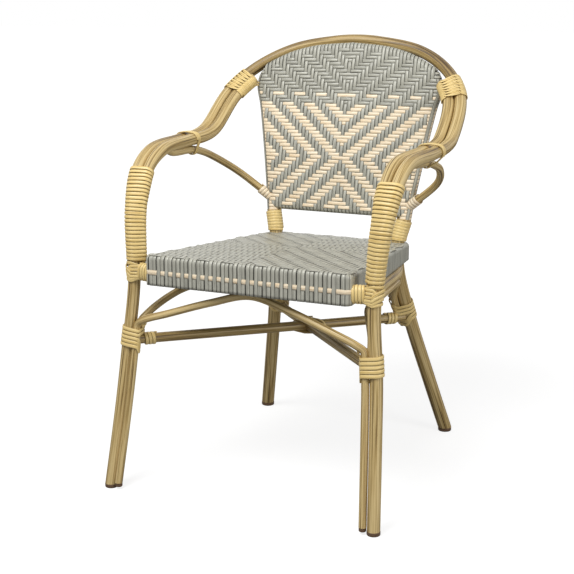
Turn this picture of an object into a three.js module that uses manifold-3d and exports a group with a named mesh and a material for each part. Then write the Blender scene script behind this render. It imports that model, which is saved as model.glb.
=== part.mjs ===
// Rattan bistro armchair: bent painted tubes lashed with flat cane, a woven seat and a woven back.
// Millimetres.  X runs across the chair, Y to the back and Z up.  The chair stands on Z = 0.
// Left and right are those of someone who looks at the chair from the front.
import * as THREE from 'three';
import { mergeVertices } from 'three/addons/utils/BufferGeometryUtils.js';
import Module from 'manifold-3d';

const wasm = await Module();
wasm.setup();

// Fits
const gap = 0.3;                    // between pieces that touch
const weldGap = 0.5;                // between tubes that run beside each other
const overrun = 40;                 // how far a cutter runs past what it cuts
const weldTolerance = 0.001;        // vertices nearer than this are one

// Tubes
const frameRadius = 12.5;           // front legs, arms and back arch
const innerArmRadius = 12.5;        // the second tube inside each arm
const rearLegRadius = 14.5;
const stretcherRadius = 10;
const archBraceRadius = 7.5;        // the thin arches under the seat
const armBraceRadius = 8;
const sideRailRadius = 11;
const hoopRadius = 10;              // the hoop hidden in the woven back
const bottomRailRadius = 9;

// Places of the frame's centrelines, right side
const frontFootHalfSpan = 283;
const frontFootY = -307;
const tieHalfWidth = 254;           // where the seat's front rail meets the leg
const tieY = -243;
const tieHeight = 418;
const armFrontHalfWidth = 275;      // where the arm levels out
const armFrontY = -138;
const armFrontHeight = 660;
const armRearHalfWidth = 280;       // where the arm turns up into the back
const armRearY = 111;
const armRise = 25;                 // from its front bend to its rear one
const armRearHeight = armFrontHeight + armRise;
const archRise = 16;                // the arch's top above the hoop's
const archSetBack = 25;             // and behind it
const shoulderShare = 0.53;         // of the arch's rise, at which the arm tube and the arch join
const rearFootHalfSpan = 225;
const rearFootY = 304;
const postHalfWidth = 144;          // rear leg at the seat
const postY = 182;
const postDrop = 51;                // the bend at the seat lies this far below the woven back
const postTopHalfWidth = 155;
const postTopY = 192;

// Shares, along each stretch, of the step in x, y and z from its first place to its last
const frontLegShares = [[0.38, 0.5, 0.4], [0.62, 0.78, 0.67]];
const armBendShares = [[0.48, 0.15, 0.55], [0.9, 0.5, 0.86]];
const armShares = [[1.4, 0.5, 0.36], [1.2, 0.83, 0.52]];
const backArchShares = [
  [0.043, 0.476, 0.392], [0.214, 0.775, 0.683], [0.479, 0.965, 0.889], [0.818, 1, 0.984],
];
const rearLegShares = [[0.36, 0.34, 0.285], [0.765, 0.73, 0.62], [0.975, 1.02, 0.875]];

// Woven back: its hoop lies on a surface that leans back and is hollowed like a barrel
const backBottom = 501;             // lower edge of the woven back
const backTopHeight = 854;          // hoop's centreline at the top
const backFootY = 193;
const backFootHalfWidth = 156;
const backHalfWidth = 203;          // hoop's centreline at its widest
const backLean = 64;                // over the height of the back
const backHollow = 16;              // how far the middle of the top lies behind the sides
const backWeave = 2.5;              // cane over the hoop
const backSkinInset = 1;            // the back's middle is thinner than its rim by this on each face
// Shares of the half width and of the height at the hoop's points, from below its cut foot to its top
const hoopShares = [
  [-0.06, -0.06], [0.17, 0.16], [0.43, 0.375], [0.79, 0.64], [1, 0.765], [0.83, 0.845], [-0.13, 0.925],
];
const hoopTopShares = [[0.43, 0.977]];   // of the widest half width, near the top

// Woven seat
const seatFrontHalfWidth = 217;
const seatRearHalfWidth = 164;
const seatFrontY = -269;
const seatRearY = 207;
const seatFrontTop = 476;
const seatRearTop = 449;
const seatCrown = 4;
const apronFrontBottom = 416;
const apronRearBottom = 412;
const seatCornerRadius = 16;
const seatLeastCornerShare = 0.25;  // of that radius, for the inner outlines
const seatEdgeRadius = 9;
const seatDrawIn = 1.5;             // the apron is drawn in at its waist
const seatWaistShare = 0.45;        // of the apron's height
const seatRingShares = [0.72, 0.4]; // rings of the top, of the seat's size
const seatWeave = 4;
const seatRailWidth = 18;
const seatRailFoot = 3;             // the rails end this far above the apron's lower edge
const crossBarWidth = 30;
const crossBarHeight = 12;
const crossBarShares = [0.36, 0.68];     // of the seat's depth
const stubWidth = 18;               // the front rail's ends, which run out of the woven corner to the leg
const stubHeight = 30;
const stubCentre = 436;
const stubInsetShare = 0.75;        // of the rail's width, from its outer face to the stub's line

// Under the seat
const stretcherFrontHeight = 296.5;
const stretcherRearHeight = 280.5;
const sideRailFrontY = -132;
const sideRailInset = 2;            // from the seat's edge
const sideRailShares = [0, 0.4, 0.72];      // of the way to the rear leg
const underRailShares = [0.08, 0.36, 0.66]; // the same, where the side brace runs under the side rail
const sideBraceDropShare = 1.13;    // of the height at which it meets the rear stretcher
const upperLegShare = 0.95;         // of the rear leg's length, above which nothing joins it
const frontBraceTurn = 15;          // degrees forward of straight inboard, round the front leg
const frontBraceTopY = -238;
const rearBraceTurn = -15;          // and behind it, round the rear leg
const rearBraceTopY = 195;
const rearBraceFoot = 258;
const rearBraceRise = 15;           // above the rear stretcher, where it leaves the leg
const legHeightShares = [0, 0.2, 0.4, 0.6, 0.8, 0.92, 1];   // of the front lashing's height
const frontBraceShares = [[0.06, -0.15, 0.14], [0.27, 0.3, 0.35], [0.65, 0.85, 0.73]];
const sideBraceFrontShares = [[0.15, 0.15, 0.3], [0.47, 0.39, 0.66], [0.81, 0.66, 0.93]];
const sideBraceRearShares = [[0.33, 0.5, 0.14], [0.79, 0.87, 0.51]];
const rearBraceShares = [[0.08, -0.12, 0.16], [0.17, -0.2, 0.33], [0.57, 0.45, 0.72]];
const armBraceFrontY = -88;
const armBraceRootY = -112;         // its mitred front end dies into the inner arm tube before this
const armBraceRootShare = 0.2;      // of that tube's radius, below its line
const armBraceStartShare = 1.1;     // the same, where the brace comes out under it
const armLevelShares = [0.35, 0.8]; // of the inner arm tube's length, its level stretch
const armBraceEndHeight = 524;
const armBraceShares = [
  [-0.08, 0.35, 0.045], [-0.08, 0.486, 0.101], [-0.06, 0.67, 0.234], [0.24, 0.91, 0.55],
];

// Feet
const capHeight = 8;
const capRim = 0.4;                 // the cap stands proud of its tube by this
const capEdge = 2.5;                // rounded lower edge
const capEdgeShare = 0.3;           // where its middle ring lies
const braceFootShare = 0.3;         // of the front brace's length, above its feet
const capStemRadius = 7;
const capStemLength = 16;
const braceFoot = 5;                // the front brace's caps stay clear of the floor
const braceStemRadius = 4;

// Cane windings
const caneThickness = 2.3;
const caneSlack = 0.9;              // between the cane and a bundle
const collarSlack = 0.35;           // between the cane and one straight tube
const armWrapCane = 7.6;            // width of the flat cane
const armWrapBottom = 464;
const armWrapDrop = 32;             // from the level arm to the wrap's top
const armWrapTop = armFrontHeight - armWrapDrop;
const armWrapPitch = 10.2;
const lashCane = 6.5;
const lashPitch = 7.6;
const topLashCane = 6.6;
const topLashPitch = 9.1;
const topLashTurns = 6;
const midLashY = 12;
const midLashPitch = 8.3;
const midLashTurns = 2;
const passMargin = 2.2;             // from a tube that meets the leg to the turns on either side of it
const passFanShare = 0.45;          // how far these turns draw together on the leg's free side
const rearPassFanShare = 0.08;
const passFlatShare = 0.12;         // of a turn, on either side of the tube, before they do
const passClimbShare = 0.25;        // of a turn, on either side of the free side, to climb past the tube
const rearPassMargin = 6;           // the rear legs lean more
const postWrapClear = 5;            // below the woven back
const postWrapFoot = 3.6;           // above the seat
const seatCornerTurns = 2.6;
const lashTurns = 4;
const turnsBelow = 2;               // of these, the turns that pass below what meets the leg
const collarTurns = 3;
const frontCollarClear = 7;         // from the braces that stand on a stretcher's end
const rearCollarClear = 12.5;
const crossLashTurns = 5;
const bundleReach = 38;             // a tube farther than this from the axis isn't in the bundle
// Shares of the inner arm tube's full radius, at shares of the arm wrap's height
const innerTaperShares = [[-0.2, 0.4], [0.1, 0.42], [0.62, 0.56], [0.86, 0.8], [1, 0.86], [1.2, 1]];
const innerTurn = 25;               // degrees to the back of straight inboard, at its lower end

// Facets
const curveDivisions = 400;
const bisections = 40;
const armTubeSteps = 33;
const backArchSteps = 17;
const rearLegSteps = 11;
const innerArmSteps = 22;
const hoopSteps = 26;
const frontBraceSteps = 38;
const sideBraceSteps = 24;
const rearBraceSteps = 22;
const armBraceSteps = 16;
const sideRailSteps = 6;
const tubeSides = 10;
const thinTubeSides = 8;
const caneSteps = 8;
const caneCrownShare = 0.4;         // edge height of the cane's outer face, of half its thickness
const seatCornerSteps = 3;
const stubSegments = 6;
const backRows = 9;
const backColumns = 5;
const bundleSamples = 240;
const edgeSteps = 2;

// Colours
const paint = { color: 0xbfa574, roughness: 0.5, metalness: 0.1 };
const cane = { color: 0xdcbf7c, roughness: 0.45, metalness: 0 };
const greyCane = { color: 0x8f938c, roughness: 0.6, metalness: 0 };
const bareTube = { color: 0x9a9c9e, roughness: 0.45, metalness: 0.8 };
const plastic = { color: 0x4a3526, roughness: 0.6, metalness: 0 };

const up = new THREE.Vector3(0, 0, 1);
const place = (x, y, z) => new THREE.Vector3(x, y, z);
const mix = THREE.MathUtils.lerp;
const radians = THREE.MathUtils.degToRad;
const fullTurn = 360;               // degrees
const chair = new THREE.Group();

function addPiece(name, geometry, look) {
  const mesh = new THREE.Mesh(geometry, new THREE.MeshStandardMaterial(look));
  mesh.name = name;
  chair.add(mesh);
}

// Curves

class Portion extends THREE.Curve {
  constructor(whole, from, to) {
    super();
    this.whole = whole;
    this.from = from;
    this.to = to;
  }

  getPoint(t, target = new THREE.Vector3()) {
    return target.copy(this.whole.getPointAt(mix(this.from, this.to, t)));
  }
}

// A line that keeps beside another: turned degrees from inboard, seen from above
class Beside extends THREE.Curve {
  constructor(guide, from, to, side, turnAt, distanceAt) {
    super();
    Object.assign(this, { guide, from, to, side, turnAt, distanceAt });
  }

  getPoint(t, target = new THREE.Vector3()) {
    const share = mix(this.from, this.to, t);
    const point = this.guide.getPointAt(share);
    const across = sideways(this.guide.getTangentAt(share), this.side, this.turnAt(point));
    return target.copy(point).addScaledVector(across, this.distanceAt(point));
  }
}

// Unit vector square to a tangent, turned degrees from inboard to the front
function sideways(tangent, side, turn) {
  const flat = place(-side * Math.cos(radians(turn)), -Math.sin(radians(turn)), 0);
  return flat.addScaledVector(tangent, -flat.dot(tangent)).normalize();
}

function smoothCurve(points) {
  const curve = new THREE.CatmullRomCurve3(points, false, 'centripetal');
  curve.arcLengthDivisions = curveDivisions;
  return curve;
}

const mirrorPoint = (point, side) => place(point.x * side, point.y, point.z);

// One half, the point in the middle and the other half
function withMirror(half, middle) {
  return [...half, middle, ...half.slice().reverse().map((point) => mirrorPoint(point, -1))];
}

// Points between two places, by their shares of each step
function between(start, end, shares) {
  return shares.map(([x, y, z]) => place(
    mix(start.x, end.x, x), mix(start.y, end.y, y), mix(start.z, end.z, z)));
}

// The share of a curve's length at which a coordinate has a value; it grows or falls between the two shares
function shareAt(curve, axis, value, low = 0, high = 1) {
  let [near, far] = [low, high];
  const rising = curve.getPointAt(high)[axis] > curve.getPointAt(low)[axis];
  for (let i = 0; i < bisections; i += 1) {
    const middle = (near + far) / 2;
    const before = curve.getPointAt(middle)[axis] < value;
    if (before === rising) near = middle;
    else far = middle;
  }
  return (near + far) / 2;
}

// The share at which a rising curve's own measure, not its length, has a height
function shareOfPoint(curve, height) {
  let [near, far] = [0, 1];
  for (let i = 0; i < bisections; i += 1) {
    const middle = (near + far) / 2;
    if (curve.getPoint(middle).z < height) near = middle;
    else far = middle;
  }
  return (near + far) / 2;
}

const pointAtHeight = (curve, height, high = 1) => curve.getPointAt(shareAt(curve, 'z', height, 0, high));

// Solids

function circleShape(radius, sides) {
  const points = [];
  for (let i = 0; i < sides; i += 1) {
    const angle = (i / sides) * 2 * Math.PI;
    points.push(new THREE.Vector2(radius * Math.cos(angle), radius * Math.sin(angle)));
  }
  return new THREE.Shape(points);
}

// A tube's curve and sizes, kept so that its neighbours can be cut to it
function makeRun(curve, radius, steps, sides = tubeSides) {
  return { curve, radiusAt: () => radius, radius, steps, sides };
}

function tube(run, extra = 0) {
  if (run.radius === undefined) return taperedTube(run, extra);
  return new THREE.ExtrudeGeometry(circleShape(run.radius + extra, run.sides), {
    steps: run.steps,
    extrudePath: run.curve,
    bevelEnabled: false,
  });
}

function taperedTube(run, extra) {
  const frames = run.curve.computeFrenetFrames(run.steps);
  const rings = [];
  for (let i = 0; i <= run.steps; i += 1) {
    const point = run.curve.getPointAt(i / run.steps);
    const radius = run.radiusAt(point) + extra;
    const ring = [];
    for (let j = 0; j < run.sides; j += 1) {
      const angle = (j / run.sides) * 2 * Math.PI;
      ring.push(point.clone()
        .addScaledVector(frames.normals[i], radius * Math.cos(angle))
        .addScaledVector(frames.binormals[i], radius * Math.sin(angle)));
    }
    rings.push(ring);
  }
  return skin(rings);
}

// A closed skin over rings of points, each counter-clockwise about the way the rings run
function skin(rings) {
  const sides = rings[0].length;
  const positions = [];
  const push = (...points) => points.forEach((point) => positions.push(point.x, point.y, point.z));
  const middle = (ring) => ring.reduce((sum, point) => sum.add(point), place(0, 0, 0)).divideScalar(sides);
  const first = rings[0];
  const last = rings[rings.length - 1];
  const firstMiddle = middle(first);
  const lastMiddle = middle(last);
  for (let j = 0; j < sides; j += 1) {
    const next = (j + 1) % sides;
    push(firstMiddle, first[next], first[j]);
    push(lastMiddle, last[j], last[next]);
    for (let i = 0; i + 1 < rings.length; i += 1) {
      push(rings[i][j], rings[i][next], rings[i + 1][next]);
      push(rings[i][j], rings[i + 1][next], rings[i + 1][j]);
    }
  }
  const geometry = new THREE.BufferGeometry();
  geometry.setAttribute('position', new THREE.Float32BufferAttribute(positions, 3));
  return geometry;
}

function toSolid(geometry) {
  const bare = geometry.clone();
  bare.deleteAttribute('normal');
  bare.deleteAttribute('uv');
  const merged = mergeVertices(bare, weldTolerance);
  return new wasm.Manifold(new wasm.Mesh({
    numProp: 3,
    vertProperties: new Float32Array(merged.attributes.position.array),
    triVerts: new Uint32Array(merged.index.array),
  }));
}

function toGeometry(solid) {
  const mesh = solid.getMesh();
  const geometry = new THREE.BufferGeometry();
  geometry.setAttribute('position', new THREE.Float32BufferAttribute(mesh.vertProperties, 3));
  geometry.setIndex(new THREE.Uint32BufferAttribute(mesh.triVerts, 1));
  geometry.computeVertexNormals();
  return geometry;
}

const runSolid = (run, extra = 0) => toSolid(tube(run, extra));

// The tube cut to the neighbours that it meets
function copedTube(run, ...neighbours) {
  return neighbours.reduce((solid, other) => solid.subtract(runSolid(other, gap)), runSolid(run));
}

// A slab between two heights, to trim a piece level
function slab(low, high) {
  const reach = 2 * (frontFootHalfSpan + overrun) + 2 * rearFootY;
  const box = new THREE.BoxGeometry(reach, reach, high - low);
  box.translate(0, 0, (low + high) / 2);
  return toSolid(box);
}

function boxSolid(low, high) {
  const size = high.clone().sub(low);
  const box = new THREE.BoxGeometry(size.x, size.y, size.z);
  box.translate((low.x + high.x) / 2, (low.y + high.y) / 2, (low.z + high.z) / 2);
  return toSolid(box);
}

// Its facets line up with those of a foot's stem
function uprightCylinder(point, radius, low, high) {
  const cylinder = new THREE.CylinderGeometry(radius, radius, high - low, thinTubeSides);
  cylinder.rotateX(Math.PI / 2);
  cylinder.translate(point.x, point.y, (low + high) / 2);
  return toSolid(cylinder);
}

// The frame's curves

const frontFoot = place(frontFootHalfSpan, frontFootY, 0);
const tie = place(tieHalfWidth, tieY, tieHeight);
const armFront = place(armFrontHalfWidth, armFrontY, armFrontHeight);
const armRear = place(armRearHalfWidth, armRearY, armRearHeight);
const archTopHeight = backTopHeight + archRise;
const shoulderHeight = mix(armRearHeight, archTopHeight, shoulderShare);
const archTop = place(0, backFootY + backLean + backHollow + archSetBack, archTopHeight);
const frameHalf = [
  frontFoot, ...between(frontFoot, tie, frontLegShares),
  tie, ...between(tie, armFront, armBendShares),
  armFront, ...between(armFront, armRear, armShares),
  armRear, ...between(armRear, archTop, backArchShares),
];
const frameCurve = smoothCurve(withMirror(frameHalf, archTop));
const frameLength = frameCurve.getLength();
const armShare = shareAt(frameCurve, 'z', shoulderHeight, 0, 0.5);
const halfJoint = gap / 2 / frameLength;
// The frame's line from a foot to the top of the arch, on either side
const frameLine = {
  1: new Portion(frameCurve, 0, 0.5),
  '-1': new Portion(frameCurve, 1, 0.5),
};
const armTube = {
  1: makeRun(new Portion(frameCurve, 0, armShare - halfJoint), frameRadius, armTubeSteps),
  '-1': makeRun(new Portion(frameCurve, 1, 1 - armShare + halfJoint), frameRadius, armTubeSteps),
};
const backArch = makeRun(
  new Portion(frameCurve, armShare + halfJoint, 1 - armShare - halfJoint), frameRadius, backArchSteps);

const rearFoot = place(rearFootHalfSpan, rearFootY, 0);
const post = place(postHalfWidth, postY, backBottom - postDrop);
const postTop = place(postTopHalfWidth, postTopY, backBottom);
const rearLegPoints = [rearFoot, ...between(rearFoot, post, rearLegShares), post, postTop];
const rearLeg = bothSides((side) => makeRun(
  smoothCurve(rearLegPoints.map((point) => mirrorPoint(point, side))), rearLegRadius, rearLegSteps));

function bothSides(make) {
  return { 1: make(1), '-1': make(-1) };
}

// The second tube of each arm keeps inboard of the first and tapers inside the wrap
function taperAt(point) {
  const share = (point.z - armWrapBottom) / (armWrapTop - armWrapBottom);
  const end = innerTaperShares.findIndex(([height]) => share < height);
  if (end === -1) return innerArmRadius;
  if (end === 0) return innerArmRadius * innerTaperShares[0][1];
  const [lowShare, lowRadius] = innerTaperShares[end - 1];
  const [highShare, highRadius] = innerTaperShares[end];
  return innerArmRadius * mix(lowRadius, highRadius, (share - lowShare) / (highShare - lowShare));
}

function innerTurnAt(point) {
  const share = (armWrapTop - point.z) / (armWrapTop - armWrapBottom);
  return -innerTurn * THREE.MathUtils.clamp(share, 0, 1);
}

const innerArm = bothSides((side) => {
  const line = frameLine[side];
  const low = shareAt(line, 'z', stubCentre + stubHeight / 2 + gap);
  const high = shareAt(line, 'z', shoulderHeight + innerArmRadius);
  const distanceAt = (point) => frameRadius + taperAt(point) + gap;
  const curve = new Beside(line, low, high, side, innerTurnAt, distanceAt);
  return { curve, radiusAt: taperAt, steps: innerArmSteps, sides: tubeSides };
});

// The back

const backHeight = backTopHeight - backBottom;

// The woven back's middle surface
function backY(x, z) {
  const share = (z - backBottom) / backHeight;
  const hollow = backHollow * share ** 2 * (1 - (x / backHalfWidth) ** 2);
  return backFootY + backLean * share + hollow;
}

const hoopPoint = (x, height) => place(x, backY(x, height), height);
const hoopHalf = [
  ...hoopShares.map(([x, z]) => hoopPoint(
    mix(backFootHalfWidth, backHalfWidth, x), backBottom + backHeight * z)),
  ...hoopTopShares.map(([x, z]) => hoopPoint(backHalfWidth * x, backBottom + backHeight * z)),
];
const hoopCurve = smoothCurve(withMirror(hoopHalf, hoopPoint(0, backTopHeight)));
const hoop = makeRun(hoopCurve, hoopRadius, hoopSteps, thinTubeSides);
const backRim = makeRun(hoopCurve, hoopRadius + backWeave, hoopSteps, thinTubeSides);
const bottomRailHeight = backBottom + hoopRadius + backWeave;
const bottomRailStart = hoopCurve.getPointAt(shareAt(hoopCurve, 'z', bottomRailHeight, 0, 0.5));
const bottomRailCurve = new THREE.LineCurve3(mirrorPoint(bottomRailStart, -1), bottomRailStart);
const bottomRail = makeRun(bottomRailCurve, bottomRailRadius, 1, thinTubeSides);
const bottomRim = makeRun(bottomRailCurve, hoopRadius + backWeave, 1, thinTubeSides);

// The woven skins between the two sides of the hoop, as one slab
function backSlab() {
  const [rows, columns] = [backRows, backColumns];
  const half = hoopRadius + backWeave - backSkinInset;
  const low = shareAt(hoopCurve, 'z', bottomRailHeight, 0, 0.5);
  const rings = [];
  for (let i = 0; i < rows; i += 1) {
    const side = hoopCurve.getPointAt(mix(low, 0.5, i / rows));
    const rear = [];
    const front = [];
    for (let j = 0; j <= columns; j += 1) {
      const x = mix(-side.x, side.x, j / columns);
      rear.push(place(x, backY(x, side.z) + half, side.z));
      front.unshift(place(x, backY(x, side.z) - half, side.z));
    }
    rings.push([...front.reverse(), ...rear.reverse()]);
  }
  return toSolid(skin(rings));
}

function backWeaveSolid() {
  const level = slab(backBottom, backTopHeight + overrun);
  const woven = backSlab().add(runSolid(backRim)).add(runSolid(bottomRim)).intersect(level);
  return woven.subtract(runSolid(hoop, gap)).subtract(runSolid(bottomRail, gap));
}

function makeBack() {
  const level = slab(backBottom + gap, backTopHeight + overrun);
  addPiece('back_hoop', toGeometry(runSolid(hoop).intersect(level)), bareTube);
  addPiece('back_bottom_rail', toGeometry(copedTube(bottomRail, hoop)), bareTube);
  addPiece('back_weave', toGeometry(backWeaveSolid()), greyCane);
}

// The seat

const seatDepth = seatRearY - seatFrontY;
const seatShare = (y) => (y - seatFrontY) / seatDepth;
const seatHalfWidth = (y) => mix(seatFrontHalfWidth, seatRearHalfWidth, seatShare(y));
const apronBottom = (y) => mix(apronFrontBottom, apronRearBottom, seatShare(y));

function seatTop(x, y) {
  const share = seatShare(y);
  const crown = seatCrown * (1 - (2 * share - 1) ** 2) * (1 - (x / seatHalfWidth(y)) ** 2);
  return mix(seatFrontTop, seatRearTop, share) + crown;
}

// The seat's outline, drawn in by an inset, with its corners rounded, counter-clockwise from above
function seatOutline(inset) {
  const radius = Math.max(seatCornerRadius - inset, seatCornerRadius * seatLeastCornerShare);
  const [rear, front] = [seatRearY - inset, seatFrontY + inset];
  const corners = [[1, rear, 0], [-1, rear, 1], [-1, front, 2], [1, front, 3]];
  const points = [];
  corners.forEach(([side, y, quarter]) => {
    const centreY = y + (quarter < 2 ? -radius : radius);
    for (let i = 0; i <= seatCornerSteps; i += 1) {
      const angle = (quarter + i / seatCornerSteps) * Math.PI / 2;
      const pointY = centreY + radius * Math.sin(angle);
      const centreX = side * (seatHalfWidth(pointY) - inset - radius);
      points.push([centreX + radius * Math.cos(angle), pointY]);
    }
  });
  return points;
}

// How far the apron is drawn in at a share of its height: most at the waist
function drawInAt(share) {
  if (share < seatWaistShare) return mix(seatDrawIn / 2, seatDrawIn, Math.max(share, 0) / seatWaistShare);
  return mix(seatDrawIn, 0, (share - seatWaistShare) / (1 - seatWaistShare));
}

// A closed body with the seat's outline, crowned on top and drawn in at the apron
function seatBody(inset, drop, foot) {
  const ring = (extra, heightAt) => seatOutline(inset + extra).map(([x, y]) => place(x, y, heightAt(x, y)));
  const apronRing = (share, lift) => ring(
    drawInAt(share), (x, y) => mix(apronBottom(y), seatTop(0, y), share) + lift);
  const rings = foot < 0 ? [apronRing(0, foot), apronRing(0, 0)] : [apronRing(0, foot)];
  rings.push(apronRing(seatWaistShare, 0));
  for (let i = 0; i <= edgeSteps; i += 1) {
    const angle = (i / edgeSteps) * Math.PI / 2;
    const fall = seatEdgeRadius * (1 - Math.sin(angle)) + drop;
    rings.push(ring(seatEdgeRadius * (1 - Math.cos(angle)), (x, y) => seatTop(x, y) - fall));
  }
  const rim = rings[rings.length - 1];
  const middleY = (seatFrontY + seatRearY) / 2;
  seatRingShares.forEach((share) => rings.push(rim.map((point) => {
    const [x, y] = [point.x * share, mix(middleY, point.y, share)];
    return place(x, y, seatTop(x, y) - drop);
  })));
  return toSolid(skin(rings));
}

// The oval ends of the front rail
function stubRun(side, extra) {
  const leg = pointAtHeight(frameLine[side], stubCentre);
  const innerY = seatFrontY + seatWeave + seatRailWidth * stubInsetShare;
  const inner = place(side * (seatFrontHalfWidth - seatRailWidth), innerY, stubCentre);
  const shape = new THREE.Shape();
  shape.absellipse(0, 0, stubHeight / 2 + extra, stubWidth / 2 + extra, 0, 2 * Math.PI);
  const path = new THREE.LineCurve3(inner, leg);
  const settings = { steps: 1, curveSegments: stubSegments, extrudePath: path, bevelEnabled: false };
  return toSolid(new THREE.ExtrudeGeometry(shape, settings));
}

function makeSeat() {
  const posts = runSolid(rearLeg[1], gap).add(runSolid(rearLeg['-1'], gap));
  const stubs = { 1: stubRun(1, 0), '-1': stubRun(-1, 0) };
  const stubHoles = stubRun(1, gap).add(stubRun(-1, gap));
  const outer = seatBody(0, 0, 0);
  const inner = seatBody(seatWeave, seatWeave, -overrun);
  addPiece('seat_weave', toGeometry(outer.subtract(inner).subtract(posts).subtract(stubHoles)), greyCane);

  const railInset = seatWeave + gap;
  const railBody = seatBody(railInset, railInset, seatRailFoot);
  const well = seatBody(railInset + seatRailWidth, -overrun, -overrun);
  const ring = railBody.subtract(well).subtract(posts);
  const reach = seatFrontHalfWidth + overrun;
  const [low, high] = [apronRearBottom - overrun, seatFrontTop + overrun];
  const frontSplit = seatFrontY + railInset + seatRailWidth + gap;
  const rearSplit = seatRearY - railInset - seatRailWidth - gap;
  const frontBox = boxSolid(place(-reach, seatFrontY - overrun, low), place(reach, frontSplit - gap, high));
  const rearBox = boxSolid(place(-reach, rearSplit + gap, low), place(reach, seatRearY + overrun, high));
  const legs = runSolid(armTube[1], gap).add(runSolid(armTube['-1'], gap));
  const frontRail = ring.intersect(frontBox).add(stubs[1]).add(stubs['-1']).subtract(legs);
  addPiece('seat_rail_front', toGeometry(frontRail), bareTube);
  addPiece('seat_rail_rear', toGeometry(largest(ring.intersect(rearBox))), bareTube);
  [1, -1].forEach((side) => {
    const sideBox = boxSolid(
      place(side > 0 ? 0 : -reach, frontSplit, low), place(side > 0 ? reach : 0, rearSplit, high));
    const rail = largest(ring.intersect(sideBox).subtract(stubHoles));
    addPiece(`seat_rail_${side > 0 ? 'right' : 'left'}`, toGeometry(rail), bareTube);
  });
  const barRoom = seatBody(railInset + seatRailWidth + gap + seatDrawIn, railInset, -overrun);
  crossBarShares.forEach((share, index) => {
    const y = mix(seatFrontY, seatRearY, share);
    const top = seatTop(0, y) - railInset;
    const barLow = place(-reach, y - crossBarWidth / 2, top - seatCrown - crossBarHeight);
    const bar = boxSolid(barLow, place(reach, y + crossBarWidth / 2, top));
    addPiece(`seat_cross_bar_${index + 1}`, toGeometry(bar.intersect(barRoom)), bareTube);
  });
}

function largest(solid) {
  return solid.decompose().sort((a, b) => b.volume() - a.volume())[0];
}

// Under the seat

const stretcherEnds = bothSides((side) => ({
  front: pointAtHeight(frameLine[side], stretcherFrontHeight),
  rear: pointAtHeight(rearLeg[side].curve, stretcherRearHeight),
}));
const longLine = new THREE.LineCurve3(stretcherEnds['-1'].front, stretcherEnds[1].rear);
const longStretcher = makeRun(longLine, stretcherRadius, 1);
const shortLine = new THREE.LineCurve3(stretcherEnds[1].front, stretcherEnds['-1'].rear);
// The share of a stretcher's length at which the two cross over the chair's middle line
const crossShare = stretcherEnds[1].front.x / (stretcherEnds[1].front.x - stretcherEnds['-1'].rear.x);
const shortLineRun = makeRun(shortLine, stretcherRadius, 1);
const shortFront = makeRun(new Portion(shortLine, 0, crossShare), stretcherRadius, 1);
const shortRear = makeRun(new Portion(shortLine, crossShare, 1), stretcherRadius, 1);

// Degrees, from inboard to the front, of the way a stretcher leaves a leg
function stretcherTurn(from, to, side) {
  const way = to.clone().sub(from);
  return THREE.MathUtils.radToDeg(Math.atan2(-way.y, -side * way.x));
}

const frontStretcherTurn = stretcherTurn(stretcherEnds[1].front, stretcherEnds['-1'].rear, 1);
const rearStretcherTurn = stretcherTurn(stretcherEnds[1].rear, stretcherEnds['-1'].front, 1);

// The place at a height that touches a leg from beside it
function besideLeg(line, legRadius, radius, height, side, turn) {
  const beside = new Beside(line, 0, 1, side, () => turn, () => legRadius + radius + weldGap);
  return beside.getPoint(shareOfPoint(beside, height));
}

const frontLashTop = stretcherFrontHeight + stretcherRadius + (lashTurns - 1) * lashPitch + caneThickness;
const frontBraceTop = place(0, frontBraceTopY, apronBottom(frontBraceTopY) - archBraceRadius - gap);
const frontBraceBottom = braceFoot + capHeight + gap;

function frontBraceHalf() {
  const risen = legHeightShares.map((share) => besideLeg(
    frameLine[1], frameRadius, archBraceRadius, frontLashTop * share, 1, frontBraceTurn));
  return [...risen, ...between(risen[risen.length - 1], frontBraceTop, frontBraceShares)];
}

const frontBraceCurve = smoothCurve(withMirror(frontBraceHalf(), frontBraceTop));
const frontBrace = makeRun(frontBraceCurve, archBraceRadius, frontBraceSteps, thinTubeSides);

// The side rail runs under the seat's edge to the rear leg
function sideRailPoint(y) {
  return place(seatHalfWidth(y) - sideRailInset, y, apronBottom(y) - sideRailRadius - gap);
}

const sideRailEndHeight = apronBottom(postY) - sideRailRadius - gap;
const sideRailEnd = pointAtHeight(rearLeg[1].curve, sideRailEndHeight, upperLegShare);
const sideRail = bothSides((side) => {
  const places = sideRailShares.map((share) => mix(sideRailFrontY, sideRailEnd.y, share));
  const points = [...places.map(sideRailPoint), sideRailEnd];
  const curve = smoothCurve(points.map((point) => mirrorPoint(point, side)));
  return makeRun(curve, sideRailRadius, sideRailSteps);
});

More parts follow.
